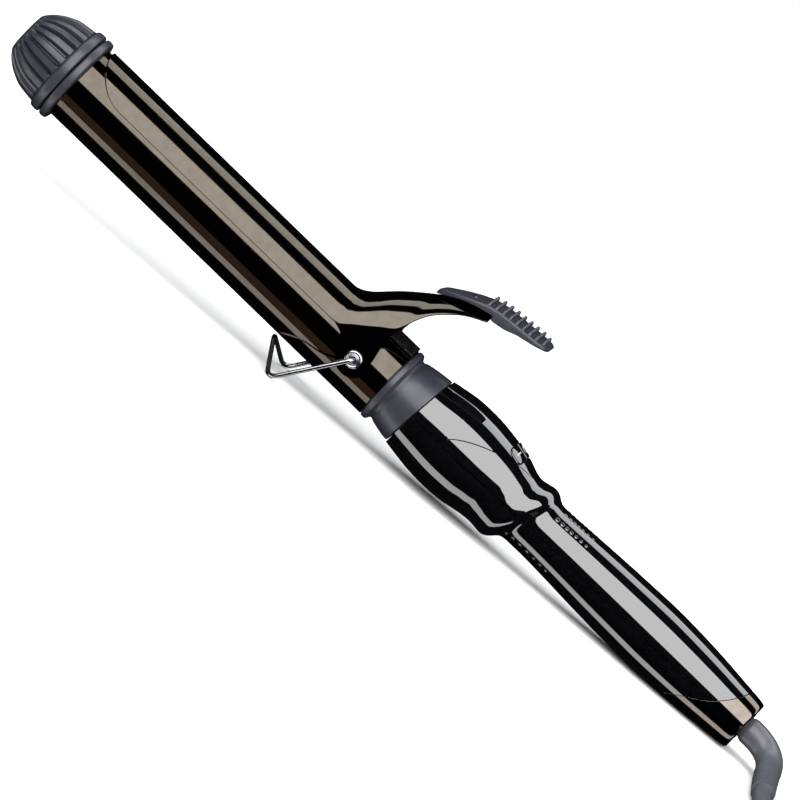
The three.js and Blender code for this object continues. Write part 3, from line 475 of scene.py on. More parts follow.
def add_cord():
    route = BOOT + LEAD + hank_turns() + TAIL_END
    data = bpy.data.curves.new("mains_cord", "CURVE")
    data.dimensions = "3D"
    data.bevel_depth = CORD_D / 2 * MM
    data.bevel_resolution = 6
    data.resolution_u = 6
    spline = data.splines.new("BEZIER")
    spline.bezier_points.add(len(route) - 1)
    for point, at in zip(spline.bezier_points, level(route)):
        point.co = at
        point.handle_left_type = point.handle_right_type = "AUTO"
    data.materials.append(CORD_GREY)
    cord = new_object("mains_cord", data)
    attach(cord, "root")
    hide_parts("cord_lead", "cord_hank", "cord_tail")
    return cord


# [along the boot, radius]: the part inside the swivel, the swell outside it, then the taper.
BOOT_RADIUS = [[0, 4.5], [7.4, 4.5], [8.4, 5.1], [9.4, 5.38], [63, 4.7], [64.5, 4.6]]
BOOT_END_R = 4.3


def add_boot():
    t = np.linspace(0, 1, 90)
    knots = np.linspace(0, 1, len(BOOT))
    route = through(np.column_stack((knots, BOOT)), t)
    length = np.concatenate(([0], np.cumsum(np.linalg.norm(np.diff(route, axis=0), axis=1))))
    at, wide = np.transpose([*BOOT_RADIUS, (length[-1], BOOT_END_R)])
    return piece("cord_boot", sweep(route, np.interp(length, at, wide), 40), CORD_GREY,
                 stands_for="strain_relief", to_frame=level)


# [start, end, thickness] of the tie's band and of the raised edge along each side of it.
TIE_BANDS = [[277, 289, 0.8], [277.15, 277.9, 0.85], [288.1, 288.85, 0.85]]
TIE_LOW = 0.9  # the height of the band's inside under the hank
TIE_INSET = 0.06  # keeps its outside within the CAD's
TIE_FLOOR = 0.12  # the lowest that it comes
HANK_LAYERS = 4


def add_tie():
    wide = OUTER + CORD_D / 2 + GAP
    low, high = TIE_LOW, HANK_LOW - CORD_D / 2 + HANK_LAYERS * CORD_D + GAP
    bands = []
    for x0, x1, thick in TIE_BANDS:
        grow = thick - TIE_INSET
        outer = rounded_box(HANK_MIDDLE - wide - grow, HANK_MIDDLE + wide + grow,
                            max(low - grow, TIE_FLOOR), high + grow, 2.2, 10)
        inner = rounded_box(HANK_MIDDLE - wide, HANK_MIDDLE + wide, low, high, 1.4, 10)
        loops = [[(x, y, z) for y, z in line] for line, x in
                 ((outer, x0), (outer, x1), (inner, x1), (inner, x0))]
        bands.append(rings(loops, closed=True))
    return piece("hank_strap", joined(*bands), STRAP, stands_for="hank_tie",
                 to_frame=level, soften=0.15)


PLUG_LONG = 48
# [along, half width, half height, how square] of the plug, from the cord's end.
PLUG_STATIONS = [[0, 4.6, 4.6, 2], [5, 5, 5, 2], [12.4, 5.5, 5.5, 2], [13, 6.6, 6, 2.4], [14, 8.6, 7.4, 3],
                 [17, 10.9, 8.9, 3.6], [22, 11.3, 9.2, 3.8], [40, 11.8, 9.7, 4], [46.6, 11.85, 9.75, 4],
                 [PLUG_LONG, 11.4, 9.2, 4]]
PLUG_NECK_GROOVES = (2.5, 5, 7.5, 10)
PLUG_GRIP_GROOVES = (24, 28, 32, 36)


def grooves(a, places, depth, width):
    """The depth at a of round-bottomed grooves at those places."""
    return depth * sum(math.exp(-((a - g) / width) ** 2) for g in places)


def add_plug():
    x, y, z = PLUG
    at = np.unique(np.concatenate((np.linspace(0, PLUG_LONG, 60), [12.4, 13, 46.6])))
    angle = circle(64)
    loops = []
    for a, (wide, high, square) in zip(at, through(PLUG_STATIONS, at)):
        neck = grooves(a, PLUG_NECK_GROOVES, 0.35, 0.35)
        grip = grooves(a, PLUG_GRIP_GROOVES, 0.4, 0.6)
        c, s = np.cos(angle), np.sin(angle)
        across = (wide - neck - grip) * np.sign(s) * np.abs(s) ** (2 / square)
        up = (high - neck) * np.sign(c) * np.abs(c) ** (2 / square)
        loops.append(section(x + a, y - across, z + up))
    return piece("plug_shell", rings(loops), CORD_GREY, stands_for="plug_body",
                 to_frame=level)


cord = add_cord()
boot = add_boot()
tie = add_tie()
plug = add_plug()


# ---------- tip ----------
TIP_RIBS = 24
RIB_DEPTH = 2.1
DOME_END = -8.3


def add_tip():
    profile = [[TIP_FACE, 8], [-26.9, 8.5], [-26.4, 9.2], [-24.5, 11.4], [-20, 14.6], [-15, 16.6],
               [DOME_END, 17.5]]
    at = np.concatenate((np.linspace(TIP_FACE, -26.3, 6), np.linspace(-26, DOME_END, 46)))
    radius = eased(profile, at, 0.3)[:, 0]
    angle = circle(TIP_RIBS * 16)
    rib = smoothstep(np.abs(np.cos(TIP_RIBS / 2 * angle)), 0.25, 0.72)
    depth = RIB_DEPTH * smoothstep(at, -26.6, -23.5) * (1 - smoothstep(at, -9, -8.5))
    loops = []
    for x, r, d in zip(at, radius, depth):
        across = r - d * (1 - rib)
        loops.append(section(x, across * np.cos(angle), across * np.sin(angle)))
    dome = rings(loops)
    flange = turned([[-8.4, 12], [-8.4, 17], [-8.1, 17.5], [-7.8, 18.2], [-7.3, 18.6], [-6.6, 18.8],
                     [-5.4, 18.9], [-4.5, 18.85], [-4.1, 18.6], [-3.9, 18], [-3.8, 17], [-3.8, 12]], 128)
    piece("tip_dome", joined(dome, flange), GREY_PLASTIC, stands_for="tip_cap",
          sharp=50)
    ring = turned([[-3.5, 2], [-3.5, 17], [-3.4, 18], [-3.1, 18.6], [-2.6, 18.85], [-1.6, 18.9],
                   [-0.7, 18.75], [-0.2, 18.4], [0, 17.8], [0, 14.4], [10, 14.4], [10, 11.5], [2, 11.5],
                   [2, 2]], 128)
    piece("tip_flange", ring, GREY_PLASTIC, stands_for="tip_ring", sharp=50)


# ---------- barrel and clamp ----------
RIM = 0.25  # the chamfer at both ends of the barrel


def add_barrel():
    inner = BARREL_R - BARREL_WALL
    profile = [[GAP, inner], [GAP, BARREL_R - RIM], [GAP + RIM, BARREL_R]]
    profile += [[x, BARREL_R] for x in np.linspace(4, BARREL_END - 3, 24)]
    profile += [[BARREL_END - RIM, BARREL_R], [BARREL_END, BARREL_R - RIM], [BARREL_END, inner]]
    piece("barrel_tube", turned(profile, 256), BRONZE, stands_for="barrel")


LEVER_START, LEVER_END = 118, 172.3
# [along, width and height of the section's half ellipse, height of the side edge, height of the crown]
# of the lever behind the spoon.
LEVER = [[LEVER_START, 16.95, 16.95, 5.29, 16.95], [127, 16.95, 16.95, 5.29, 16.95],
         [130, 17.1, 18.3, 5.4, 18], [133, 17.9, 20.4, 6, 20], [136.5, 17.9, 21.4, 9, 23.5],
         [140, 17.9, 22.2, 11.7, 27.1],
         [145, 17.9, 22.8, 15.8, 31.5], [150.5, 17.9, 22.5, 20.4, 35.9], [152.5, 17.5, 19.8, 26, 37.4],
         [155, 16.7, 16.6, 31, 39.2], [160, 14.3, 11, 36.4, 42.3], [165, 12.2, 6.8, 40.4, 44.5],
         [LEVER_END, 10.9, 3, 44.2, 46.1]]
SPOON_TIP, SPOON_FULL = 2, 20


def clamp_rows():
    """The spoon's and the lever's outside, as rows of points from side to side."""
    across = np.linspace(-1, 1, 65)
    rows = []
    for turn in np.linspace(0.1, math.pi / 2, 30)[:-1]:
        angle = SPOON_ANGLE * math.sin(turn) * across
        x = SPOON_TIP + (SPOON_FULL - SPOON_TIP) * (1 - math.cos(turn))
        rows.append(section(x, SPOON_R * np.sin(angle), SPOON_R * np.cos(angle)))
    for x in [*np.linspace(SPOON_FULL, LEVER_START, 20)[:-1], *np.linspace(LEVER_START, LEVER_END, 110)]:
        wide, high, edge, crown = eased(LEVER, x, 1.6)
        angle = math.acos(1 - (crown - edge) / high) * across
        rows.append(section(x, wide * np.sin(angle), crown - high * (1 - np.cos(angle))))
    return rows


EAR_R = 7


def ear_outline():
    """The [along, up] outline of the ear that hangs from the lever to the pivot."""
    lobe = np.linspace(-2.55, -0.5, 22)[:, None]
    return np.concatenate((
        bend((131.6, 5.6), (136.5, 4.6), (138.2, 0.5)),
        bend((138.2, 0.5), (139.2, -2.6), (140.6, -4.2))[1:],
        np.hstack((PIVOT + EAR_R * np.cos(lobe), EAR_R * np.sin(lobe))),
        bend((152.44, -3.36), (152.4, 3.3), (150.6, 10.9))[1:],
        [(150.2, 14.5), (150.8, 18.5), (151.2, 21.4), (150.4, 20.3), (145, 15.7), (140, 11.6), (136.5, 8.9),
         (133, 5.9)],
    ))


def add_clamp():
    skin = sheet(clamp_rows(), CLAMP_SHEET)
    ears = mirrored(plate(ear_outline(), EAR_IN, EAR_OUT))
    piece("clamp_plate", joined(skin, ears), CLAMP_BRONZE, body="clamp", stands_for="clamp",
          soften=0.14, sharp=40)


REST_START, REST_END = 150.6, 196.3
# [along, half width, underside, top] of the thumb rest.
REST = [[REST_START, 2.4, 36.9, 38.7], [152, 4.6, 37.9, 40.4], [155, 6.6, 39.9, 42.2], [160, 9.2, 43, 44.9],
        [165, 10.8, 45.2, 47.3], [169, 11, 46.3, 49], [172.4, 11, 46.9, 49.8], [172.8, 11, 45.3, 49.9],
        [178, 11, 46, 50.5], [184, 11, 48, 51], [190, 10.9, 49.3, 51.5], [194.5, 9.6, 50.4, 51.8],
        [195.9, 7.4, 50.7, 51.7], [REST_END, 6.2, 50.95, 51.5]]
NUB_ROWS = 9
NUB_PITCH = 3.07  # along the rest
NUB_SPACING = 2.9  # across it
NUB_FIRST = 168.5
NUB_SUNK = 0.3  # how deep a nub's foot is in the rest
# [above the foot, radius] of a nub.
NUB = [[0, 0], [0, 1.05], [0.4, 0.86], [1.3, 0.7], [1.7, 0.6], [1.95, 0.38], [2.05, 0.15], [2.06, 0]]
RIVETS = (163.5, 170)


def add_thumb_rest():
    at = np.unique(np.concatenate((np.linspace(REST_START, REST_END, 80), [172.4, 172.8])))
    loops = []
    for x, (half, under, top) in zip(at, through(REST, at)):
        corner = min(0.75, (top - under) / 2.2)
        loops.append([(x, y, z) for y, z in rounded_box(-half, half, under, top, corner, 6)])
    shapes = [rings(loops)]
    for row in range(NUB_ROWS):
        x = NUB_FIRST + row * NUB_PITCH
        foot = through(REST, x)[2] - NUB_SUNK
        nub = [[foot + rise, r] for rise, r in NUB]
        reach = 2 if row == NUB_ROWS - 1 else 3
        for k in range(-reach, reach + 1):
            shapes.append(turned(nub, 16, (x, k * NUB_SPACING, 0), axis=2))
    piece("thumb_grip", joined(*shapes), GREY_PLASTIC, body="clamp", stands_for="thumb_rest",
          sharp=50)
    for i, x in enumerate(RIVETS):
        crown = through(LEVER, x)[3]
        top = through(REST, x)[2]
        rivet = [[crown - 2.9, 0], [crown - 2.9, 1.3], [crown - 2.6, 1.75], [crown - 1.9, 1.8],
                 [crown - 1.9, 1.2], [top - 0.6, 1.2], [top - 0.6, 2.4], [top - 0.1, 2.2], [top + 0.12, 1.5],
                 [top + 0.2, 0]]
        piece(f"grip_rivet_{i + 1}", turned(rivet, 32, (x, 0, 0), axis=2), PAINTED_STEEL, body="clamp",
              stands_for=f"thumb_rest_rivet_{i + 1}")


# ---------- spring, eyelets and stand ----------
SADDLE_SHEET = 0.8
# The spring's axis, the radii of its coil and its wire, half its width, and its turns.
SPRING = {"x": 145.5, "z": 19.3, "coil": 2.1, "wire": 0.5, "half": 6, "turns": 9}
ARM_END = 151.4  # where the spring's arm meets the lever


def add_spring():
    angle = np.radians(np.linspace(-30, 30, 41))
    rows = [section(x, SADDLE_R * np.sin(angle), SADDLE_R * np.cos(angle))
            for x in np.linspace(148.6, 160.6, 10)]
    angle = np.radians(np.linspace(-28, 28, 25))
    lip = [section(150.9, r * np.sin(angle), r * np.cos(angle)) for r in (18.2, 16.5)]
    saddle = joined(sheet(rows, SADDLE_SHEET), sheet(lip, SADDLE_SHEET))
    piece("spring_seat", saddle, SPECKLED_STEEL, stands_for="spring_saddle", soften=0.1)

    s = SPRING
    angle = np.linspace(-math.pi / 2, 2 * math.pi * s["turns"] - 0.2, 30 * s["turns"])
    share = np.linspace(-1, 1, len(angle))
    coil = np.column_stack((s["x"] + s["coil"] * np.cos(angle), s["half"] * share,
                            s["z"] + s["coil"] * np.sin(angle)))
    foot = [(s["x"] - 6.5, -s["half"] - 0.3, 16.4), (s["x"] - 2, -s["half"] - 0.2, 16.9)]
    arm = bend(coil[-1], (s["x"] + 3, s["half"], s["z"] + 6), (ARM_END, s["half"], 33.2), 16)[1:]
    wire = sweep(np.concatenate((foot, coil, arm)), s["wire"], 14)
    spring = piece("torsion_spring", wire, STEEL, stands_for="clamp_spring", rides=False)
    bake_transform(spring)


def add_eyelets():
    head = [[11.6, 1.2], [11.6, 1.9], [17.3, 1.9], [17.3, 3.4], [17.45, 3.5], [17.8, 3.48], [18.1, 3.3],
            [18.28, 2.95], [18.25, 2.7], [17.9, 2.2], [17.7, 1.6], [17.6, 1.2]]
    for side, mirror in (("right", 1), ("left", -1)):
        points, faces = turned(head, 64, (PIVOT, 0, 0), axis=1)
        piece(f"eyelet_{side}", (points * (1, mirror, 1), faces), CHROME, stands_for=f"pivot_eyelet_{side}")


# The corners of the stand's wire, and how far from each its rounding begins.
STAND = [(PIVOT, -13, 0), (PIVOT, -19.6, 0), (127.6, -18.4, -27.78), (117.3, 0, -17.05),
         (127.6, 18.4, -27.78), (PIVOT, 19.6, 0), (PIVOT, 13, 0)]
STAND_ROUNDING = (1.8, 5.5, 3.6, 5.5, 1.8)


def add_stand():
    route = rounded_route(STAND, STAND_ROUNDING, 12)
    piece("stand_bail", sweep(route, STAND_WIRE_R, 24), CHROME, body="stand", stands_for="stand_wire")


# ---------- collar ----------
def slanted(stations):
    """A closed skin over rings of [along, radius, slant], whose tops lean towards the tail by slant."""
    angle = circle(128)
    return rings([np.column_stack((x + slant * np.cos(angle), r * np.sin(angle), r * np.cos(angle)))
                  for x, r, slant in stations], closed=True)


def add_collar():
    stations = [[150.2, 9, 0], [150.2, 14.3, 0], [161.3, 14.3, 0], [161.3, 15.7, 0], [161.5, 16, 0],
                [161.9, 16.2, 0], [163.3, 16.2, 0], [163.7, 16, 0], [164.2, 15.2, 0], [164.7, 14.4, 0],
                [165.2, 14.2, 0], [165.8, 14.3, 0], [166.4, 14.7, 0], [167.5, 15, 0], [169, 15.3, 0.2],
                [171, 15.7, 0.6], [173.5, 16.05, 1], [175.8, 16.3, 1.4], [176.3, 16.2, 1.5],
                [176.5, 15.9, 1.5], [176.5, 12.9, 1.1], [187, 12.9, 0], [187, 9, 0]]
    piece("collar_skin", slanted(stations), GREY_PLASTIC, stands_for="collar",
          sharp=40)


# ---------- handle ----------
# [along, radius, how much further out the top is] down the handle.
HANDLE = [[HANDLE_START, 16.9, 0], [180, 17.4, 0], [185, 18.2, 0], [190, 18.8, 0], [196, 19, 0],
          [203, 18.7, 0], [210, 17.7, -0.1], [215, 16.65, -0.75], [219, 15.5, -1.3], [222.5, 15, -1.55],
          [225.5, 15.35, -1.4], [228.5, 15.8, -1.2], [231, 15.1, -0.9], [233, 13.5, -0.55],
          [234.6, 12.3, -0.25], [237.5, 12, -0.1], [244, 12.05, 0], [255, 12.5, 0], [270, 13.2, 0],
          [285, 13.7, 0], [298, 14, 0], [310, 13.65, 0], [322, 12.95, 0], [334, 11.85, 0],
          [343.8, 10.85, 0], [HANDLE_END, 10.2, 0]]
SHELL = 1.8
SEAM_GAP = GAP / 2 / 14  # half the gap between the halves, as an angle
PANEL_GAP = GAP / 2 / 17  # half the gap round the panel, as an angle
BESIDE = 91  # rows of the upper half that lie beside the panel
BEHIND = 0.4  # the quarter rounds behind the panel start this far behind its point
SCREWS = (241, 292)
SCREW_BORE = 2.9


def slant_at(s):
    """How far the top of a section leans towards the tail."""
    return (1.5 * (1 - smoothstep(s, HANDLE_START, 192))
            + 4.5 * smoothstep(s, 205, 218) * (1 - smoothstep(s, 236, 254)))


def reach_at(s):
    """Over how much of the handle's length its turns are eased: less at the shoulder and the ends."""
    ends = np.minimum(np.asarray(s) - HANDLE_START, HANDLE_END - np.asarray(s)) * 0.8
    body = 1.2 + 3 * smoothstep(np.abs(np.asarray(s) - 229), 9, 24)
    return np.clip(np.minimum(body, ends), 0.01, None)


def on_handle(s, angle, grow=0.0):
    """Points on the handle's outside. The angle starts at the top and grows towards +y."""
    s, angle = np.broadcast_arrays(np.asarray(s, float), np.asarray(angle, float))
    radius, droop = np.moveaxis(eased(HANDLE, s, reach_at(s)), -1, 0)
    r = radius + droop * np.cos(angle) + grow
    return np.stack((s + slant_at(s) * np.cos(angle), r * np.sin(angle), r * np.cos(angle)), axis=-1)


# The tail cap's seam seen from the side, as [along, up].
SEAM = np.concatenate(([(311, -20), (311.4, -13.8)], bend((311.4, -13.8), (315, -9.4), (325, -3.2), 12)[1:],
                       bend((325, -3.2), (334, 2.8), (338.6, 12), 12)[1:], [(338.8, 20)]))


def seam_at(angle):
    """Where the tail cap's seam crosses the line at that angle."""
    s = np.full(np.shape(angle), 325.0)
    for _ in range(30):
        s = 0.5 * s + 0.5 * np.interp(on_handle(s, angle)[..., 2], SEAM[:, 1], SEAM[:, 0])
    return s


LEAF_WIDE, LEAF_START, LEAF_END = 19.2, 184, 234  # half its width, and its ends seen from above


def leaf_angle(s):
    """Half the control panel's width as an angle from the top: the whole upper half at its front."""
    s = np.asarray(s, float)
    angle = np.full(s.shape, 0.8)
    for _ in range(40):
        x, _, _ = np.moveaxis(on_handle(s, angle), -1, 0)
        share = np.clip((x - LEAF_START) / (LEAF_END - LEAF_START), 0, 1)
        radius = np.linalg.norm(on_handle(s, angle)[..., 1:], axis=-1)
        goal = np.arcsin(np.clip(LEAF_WIDE * np.cos(math.pi / 2 * share) / radius, 0, 1))
        angle = 0.6 * angle + 0.4 * goal
    return angle


def leaf_tip():
    """The station where the panel comes to its point."""
    low, high = 220.0, LEAF_END
    for _ in range(30):
        middle = (low + high) / 2
        if on_handle(middle, 0.0)[0] < LEAF_END:
            low = middle
        else:
            high = middle
    return low


def lower_shell():
    """The lower half, up to the tail cap's seam."""
    angle = np.linspace(math.pi / 2 + SEAM_GAP, 1.5 * math.pi - SEAM_GAP, 97)
    share = np.linspace(0, 1, 261)[:, None]
    s = HANDLE_START + share * (seam_at(angle) - GAP - HANDLE_START)
    return sheet(on_handle(s, angle), SHELL)


def upper_shell(tip):
    """One side of the upper half: a strip beside the panel, then a quarter round behind its point."""
    share = np.linspace(0, 1, 49)
    stations = np.linspace(LEAF_START, tip, 400)
    begin = stations[np.argmax(leaf_angle(stations) < math.pi / 2 - 3 * SEAM_GAP)]
    first = np.concatenate((np.linspace(begin, tip, BESIDE - 1), [tip + BEHIND]))
    inner = np.append(leaf_angle(first[:-1]) + SEAM_GAP * 1.5, 0.0)
    inner[-2] = min(inner[-2], 0.03)
    strip = [on_handle(s, a + share * (math.pi / 2 - SEAM_GAP - a)) for s, a in zip(first, inner)]
    angle = share * (math.pi / 2 - SEAM_GAP)
    ends = seam_at(angle) - GAP
    rest = [on_handle(tip + BEHIND + u * (ends - tip - BEHIND), angle)
            for u in np.linspace(0, 1, 150)[1:]]
    return np.array(strip + rest)


def add_halves(tip):
    lower = piece("handle_underside", lower_shell(), GLOSS_BLACK, stands_for="handle_lower",
                  soften=0.12)
    bore = [[-20, 0], [-20, SCREW_BORE], [-8, SCREW_BORE], [-8, 0]]
    carve(lower, *(turned(bore, 48, (x, 0, 0), axis=2) for x in SCREWS))
    right = upper_shell(tip)
    left = (right * (1, -1, 1))[:, ::-1]
    behind = np.concatenate((left, right[:, 1:]), axis=1)[BESIDE:]
    shapes = [sheet(grid, SHELL) for grid in (behind, right[:BESIDE + 1], left[:BESIDE + 1])]
    piece("handle_topside", joined(*shapes), GLOSS_BLACK, stands_for="handle_upper",
          sharp=30)


POINT = 8  # the panel's point, where its rows lie closer together
LEAST_WIDTH = 0.004  # half the panel's width at its point, as an angle


def add_panel(tip):
    stations = np.concatenate((np.linspace(HANDLE_START, tip - POINT, 90),
                               np.linspace(tip - POINT, tip, 40)[1:]))
    width = np.maximum(leaf_angle(stations) - PANEL_GAP, LEAST_WIDTH)
    width[-1] = LEAST_WIDTH
    grid = [on_handle(s, w * np.linspace(-1, 1, 81)) for s, w in zip(stations, width)]
    panel = piece("control_leaf", sheet(grid, SHELL), GLOSS_BLACK, stands_for="control_panel",
                  soften=0.1)
    opening = rounded_box(BUTTON_X - BUTTON_LONG / 2 - GAP, BUTTON_X + BUTTON_LONG / 2 + GAP,
                          -BUTTON_WIDE / 2 - GAP, BUTTON_WIDE / 2 + GAP, BUTTON_CORNER + GAP)
    carve(panel, rings([[(x, y, z) for x, y in opening] for z in (5, 25)]))


TAIL_SKIN_END = HANDLE_END - 1.6
# [along, radius] of the tail cap's round edge and of the hole in its end.
TAIL_EDGE = [[344.1, 10.75], [344.6, 10.5], [344.9, 10.15], [HANDLE_END, 9.7], [HANDLE_END, 7.7], [341, 7.7]]


def add_tail():
    angle = np.linspace(0, 2 * math.pi, 129)
    share = np.linspace(0, 1, 40)[:, None]
    start = seam_at(angle)
    rows = list(on_handle(start + share * (TAIL_SKIN_END - start), angle))
    outward = unit(on_handle(TAIL_SKIN_END, angle)[:, 1:])
    rows += [section(x, *(outward * r).T) for x, r in TAIL_EDGE]
    rows.append(on_handle(start, angle, -SHELL))
    loops = [row[:-1] for row in rows]
    piece("tail_cover", rings(loops, closed=True), CAP_BRONZE, stands_for="tail_cap",
          soften=0.1)


# ---------- buttons ----------
def station_of(x, y):
    """The station and angle of the point of the handle's top above plan point x, y."""
    s, angle = np.asarray(x, float).copy(), np.zeros(np.shape(x))
    for _ in range(30):
        radius = np.linalg.norm(on_handle(s, angle)[..., 1:], axis=-1)
        angle = 0.5 * angle + 0.5 * np.arcsin(np.clip(y / radius, -1, 1))
        s = 0.5 * s + 0.5 * (x - slant_at(s) * np.cos(angle))
    return s, angle


def above(x, y, grow):
    """Points of the handle's top above plan points, raised by grow."""
    s, angle = station_of(np.asarray(x, float), np.asarray(y, float))
    return on_handle(s, angle, grow)


# [share of the outline, height above the handle] of a key, from its middle over its rim and down its side.
KEY = [[0.02, 0.34], [0.3, 0.35], [0.6, 0.35], [0.85, 0.34], [0.93, 0.3], [0.98, 0.18], [1, 0.02], [1, -1],
       [1, -2.6]]
MARK_RISE, MARK_THICK = 0.39, 0.08
MARK_WIDE, POWER_MARK_WIDE = 0.4, 0.36
MARK_HALF = 1.3  # half the length of a bar, and the radius of the power mark's ring


def button(outline):
    """A key with a rounded rim that follows the handle's top."""
    middle = outline.mean(0)
    rows = []
    for share, rise in KEY:
        x, y = (middle + (outline - middle) * share).T
        rows.append(above(x, y, rise))
    rows[0][:] = rows[0].mean(0)
    return rings(rows)


def ribbon(points, width):
    """A thin raised line on the handle's top, through plan points."""
    ahead = unit(np.gradient(points, axis=0))
    side = np.column_stack((-ahead[:, 1], ahead[:, 0])) * width / 2
    return sheet([above(*(points + side * k).T, MARK_RISE) for k in (-1, 0, 1)], MARK_THICK)


def add_buttons():
    x0, x1 = BUTTON_X - BUTTON_LONG / 2, BUTTON_X + BUTTON_LONG / 2
    full = np.array(rounded_box(x0, x1, -BUTTON_WIDE / 2, BUTTON_WIDE / 2, BUTTON_CORNER, 10))
    split = POWER_HALF + GAP
    keys = (("minus", -BUTTON_WIDE / 2, -split), ("power", -POWER_HALF, POWER_HALF),
            ("plus", split, BUTTON_WIDE / 2))
    for name, low, high in keys:
        if name == "power":
            outline = np.array(rounded_box(x0, x1, low, high, 0.3, 10))
        else:
            outline = full.copy()
            outline[:, 1] = np.clip(outline[:, 1], low, high)
        middle = (low + high) / 2
        piece(f"{name}_key", button(outline), GLOSS_BLACK, body=f"{name}_button",
              stands_for=f"{name}_button", sharp=60)
        line = np.linspace(-MARK_HALF, MARK_HALF, 9)
        if name == "power":
            turn = np.linspace(math.radians(35), math.radians(325), 30)
            ring = np.column_stack((BUTTON_X - MARK_HALF * np.cos(turn), MARK_HALF * np.sin(turn)))
            bar = np.column_stack((BUTTON_X + np.linspace(-1.7, -0.1, 5), np.zeros(5)))
            marks = [ribbon(ring, POWER_MARK_WIDE), ribbon(bar, POWER_MARK_WIDE)]
        else:
            marks = [ribbon(np.column_stack((np.full(9, BUTTON_X), middle + line)), MARK_WIDE)]
            if name == "plus":
                marks.append(ribbon(np.column_stack((BUTTON_X + line, np.full(9, middle))), MARK_WIDE))
        piece(f"{name}_mark", joined(*marks), MARK, body=f"{name}_button")


DOT_ROWS = [[20, 239], [45, 239], [135, 234.5]]  # [degrees from the top, where the row starts]
# [share of the radius, height above the handle] of a dot.
DOT = [[1, -0.3], [1, 0.02], [0.9, 0.12], [0.6, 0.2], [0.02, 0.23]]


def add_dots():
    """Rows of seven small domes down the neck, each dot smaller and nearer than the one before."""
    shapes = []
    for degrees, start in DOT_ROWS:
        for angle in (-math.radians(degrees), math.radians(degrees)):
            s = start
            for k in range(7):
                radius = 1 - 0.05 * k
                at = on_handle(s, angle)
                out = on_handle(s, angle, 1.0) - at
                ahead = np.cross(out, (0, -math.cos(angle), math.sin(angle)))
                side = np.cross(ahead, out)
                turn = circle(20)[:, None]
                rows = [at + out * rise + radius * r * (np.cos(turn) * ahead + np.sin(turn) * side)
                        for r, rise in DOT]
                shapes.append(rings(rows))
                s += 3.2 - 0.12 * k
    piece("neck_dots", joined(*shapes), GLOSS_BLACK, sharp=60)


# ---------- swivel and screw pockets ----------
def add_swivel():
    bush = [[333.4, 6.2], [333.4, 9], [335.4, 9], [335.4, 7.4], [344.8, 7.4], [345, 7.2], [345, 6.4],
            [344.8, 6.2]]
    piece("exit_bush", turned(bush, 96), GREY_PLASTIC, stands_for="swivel_bush",
          sharp=40)
    rotor = [[312, 0], [312, 4], [327.6, 4], [327.6, 7.6], [333, 7.6], [333, 5.9], [345, 5.9], [345.2, 5.7],
             [345.2, 5.1], [336, 5], [336, 0]]
    piece("exit_rotor", turned(rotor, 96), GREY_PLASTIC, body="swivel", stands_for="swivel_rotor",
          sharp=40)


def add_screw_pockets():
    """The pockets that the handle's two screws sit in."""
    for i, x in enumerate(SCREWS):
        mouth = 1 - np.linalg.norm(on_handle(x, math.pi)[1:])  # a millimetre inside the handle's skin
        cup = [[mouth, 2.92], [mouth, 3.8], [-9.2, 3.8], [-9.2, 1.4], [-9.6, 1.4], [-9.6, 2.92]]
        piece(f"screw_pocket_{i + 1}", turned(cup, 48, (x, 0, 0), axis=2), GLOSS_BLACK)


add_tip()
add_barrel()
add_clamp()
add_thumb_rest()
add_spring()
add_eyelets()
add_stand()
add_collar()
panel_tip = leaf_tip()
add_halves(panel_tip)
add_panel(panel_tip)
add_tail()
add_buttons()
add_dots()
add_swivel()
add_screw_pockets()

# ---------- finishes of the CAD nodes that show or lie inside ----------
CAD_FINISHES = [
    (STEEL, ["tip_screw", "heater_spring", "pivot_ring", "handle_screw_1", "handle_screw_2", "triac"]),
    (ALUMINIUM, ["heat_block_upper", "heat_block_lower", "thermal_fuse"]),
    (CERAMIC, ["heater_plate", "thermistor", "insulator_disc"]),
    (COPPER, ["slip_ring_live", "slip_ring_neutral", "brush_live", "brush_neutral"]),
    (BOARD_GREEN, ["circuit_board"]),
    (CAPACITOR, ["film_capacitor"]),
    (LAMP_RED, ["indicator_lamp"]),
    (SWITCH_BLACK, ["minus_switch", "power_switch", "plus_switch"]),
    (LIVE_SLEEVE, ["heater_wire_live"]),
    (NEUTRAL_SLEEVE, ["heater_wire_neutral"]),
    (SLEEVE, ["sensor_wire"]),
    (CHROME, ["plug_blade_live", "plug_blade_neutral"]),
]
CAD_EDGE = 0.12


def dress_cad_nodes():
    for material, names in CAD_FINISHES:
        for name in names:
            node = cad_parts[name]
            node.data.materials.clear()
            node.data.materials.append(material)
            soft_edges(node, CAD_EDGE)


dress_cad_nodes()


# ---------- floor and lights ----------
BARREL_SIDE = ("barrel_tube", "clamp_plate", "spring_seat")  # the only pieces that the warm rim card lights
CARD_DISTANCE = 1.25
CARD_LENGTH = 3.6
FLOOR_HALF = 12
OVERHEAD_RISE, OVERHEAD_SCALE = 3, 4
FACTOR, COLOUR_A, COLOUR_B, MIXED = 0, 6, 7, 2  # the colour mix node's sockets


def plain_mesh(name, corners, material):
    """A flat stage object with four corners."""
    mesh = bpy.data.meshes.new(name)
    mesh.from_pydata([tuple(map(float, c)) for c in corners], [], [(0, 1, 2, 3)])
    mesh.materials.append(material)
    obj = new_object(name, mesh)
    return obj


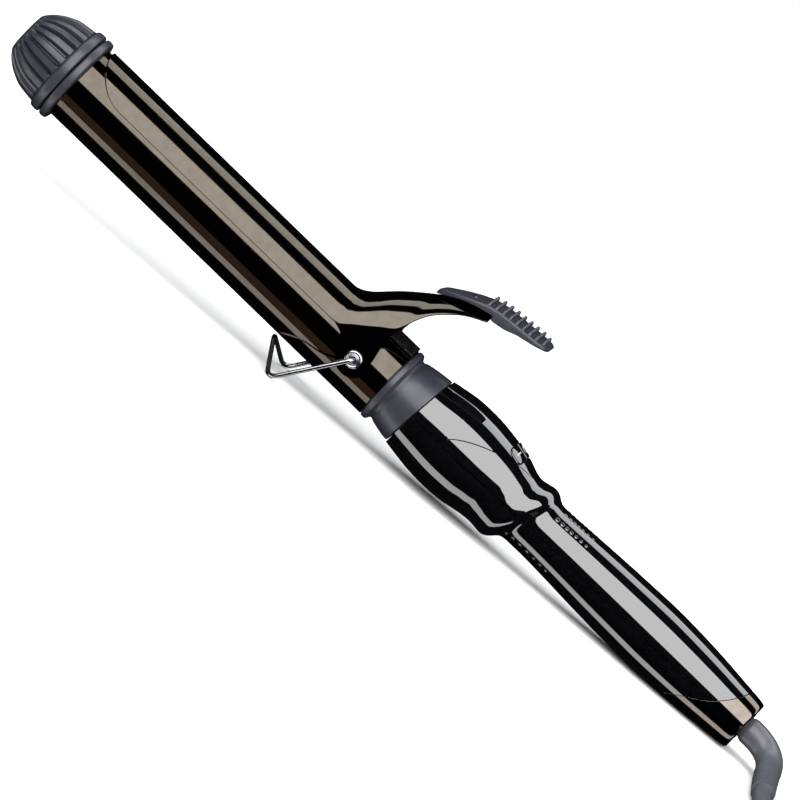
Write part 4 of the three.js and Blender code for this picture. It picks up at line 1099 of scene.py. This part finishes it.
def add_card(name, low, high, strength, colour=(1, 1, 1)):
    """A light card along the iron, between two elevations about its axis: 0 is the near side, 90 overhead
    and -90 underneath."""
    light = bpy.data.materials.new(name)
    light.use_nodes = True
    nodes = light.node_tree.nodes
    nodes.remove(nodes["Principled BSDF"])
    emission = nodes.new("ShaderNodeEmission")
    emission.inputs["Color"].default_value = (*colour, 1)
    emission.inputs["Strength"].default_value = strength
    light.node_tree.links.new(emission.outputs["Emission"], nodes["Material Output"].inputs["Surface"])
    middle = math.radians((low + high) / 2)
    half = CARD_DISTANCE * math.tan(math.radians((high - low) / 2))
    over = math.sin(middle) * SIDE + math.cos(middle) * UP
    centre = IRON_AT + CARD_DISTANCE * (math.sin(middle) * UP - math.cos(middle) * SIDE)
    along = AXIS * CARD_LENGTH / 2
    card = plain_mesh(name, [centre - along - over * half, centre + along - over * half,
                             centre + along + over * half, centre - along + over * half], light)
    card.visible_camera = False
    return card


def add_studio():
    pale = finish("studio_floor", (0.8, 0.8, 0.8), (0.84, 0.84, 0.84), (0.85, 0.95), grain=2, patch=3)
    corners = [(x * FLOOR_HALF, y * FLOOR_HALF, 0) for x, y in ((-1, -1), (1, -1), (1, 1), (-1, 1))]
    floor = plain_mesh("studio_floor", corners, pale)
    floor.visible_glossy = False
    floor.visible_shadow = False
    add_card("front_softbox", 12, 67, 5)
    add_card("back_softbox", 97, 123, 3.4, (0.96, 0.99, 1))
    low = add_card("low_card", -83, -63, 2.7)
    rim = add_card("low_rim", -60, -38, 0.36, (1, 0.6, 0.42))
    barrel_side = bpy.data.collections.new("barrel_side")
    for name in BARREL_SIDE:
        barrel_side.objects.link(bpy.data.objects[name])
    rim.light_linking.receiver_collection = barrel_side
    for card in (low, rim):
        card.visible_diffuse = False
    overhead = add_card("overhead_fill", 60, 120, 3.5)
    overhead.matrix_world = Matrix.Translation((0, 0, OVERHEAD_RISE)) @ Matrix.Scale(OVERHEAD_SCALE, 4)
    overhead.visible_glossy = False


def add_world():
    """A pale background to the camera, and a nearly dark one to everything else."""
    world = bpy.data.worlds.new("studio")
    bpy.context.scene.world = world
    world.use_nodes = True
    nodes, links = world.node_tree.nodes, world.node_tree.links
    rays = nodes.new("ShaderNodeLightPath")
    seen = nodes.new("ShaderNodeMix")
    seen.data_type = "RGBA"
    seen.inputs[COLOUR_A].default_value = (0.008, 0.008, 0.009, 1)
    seen.inputs[COLOUR_B].default_value = (0.9, 0.9, 0.9, 1)
    links.new(rays.outputs["Is Camera Ray"], seen.inputs[FACTOR])
    links.new(seen.outputs[MIXED], nodes["Background"].inputs["Color"])
    bpy.context.scene.view_settings.view_transform = "Standard"


add_studio()
add_world()
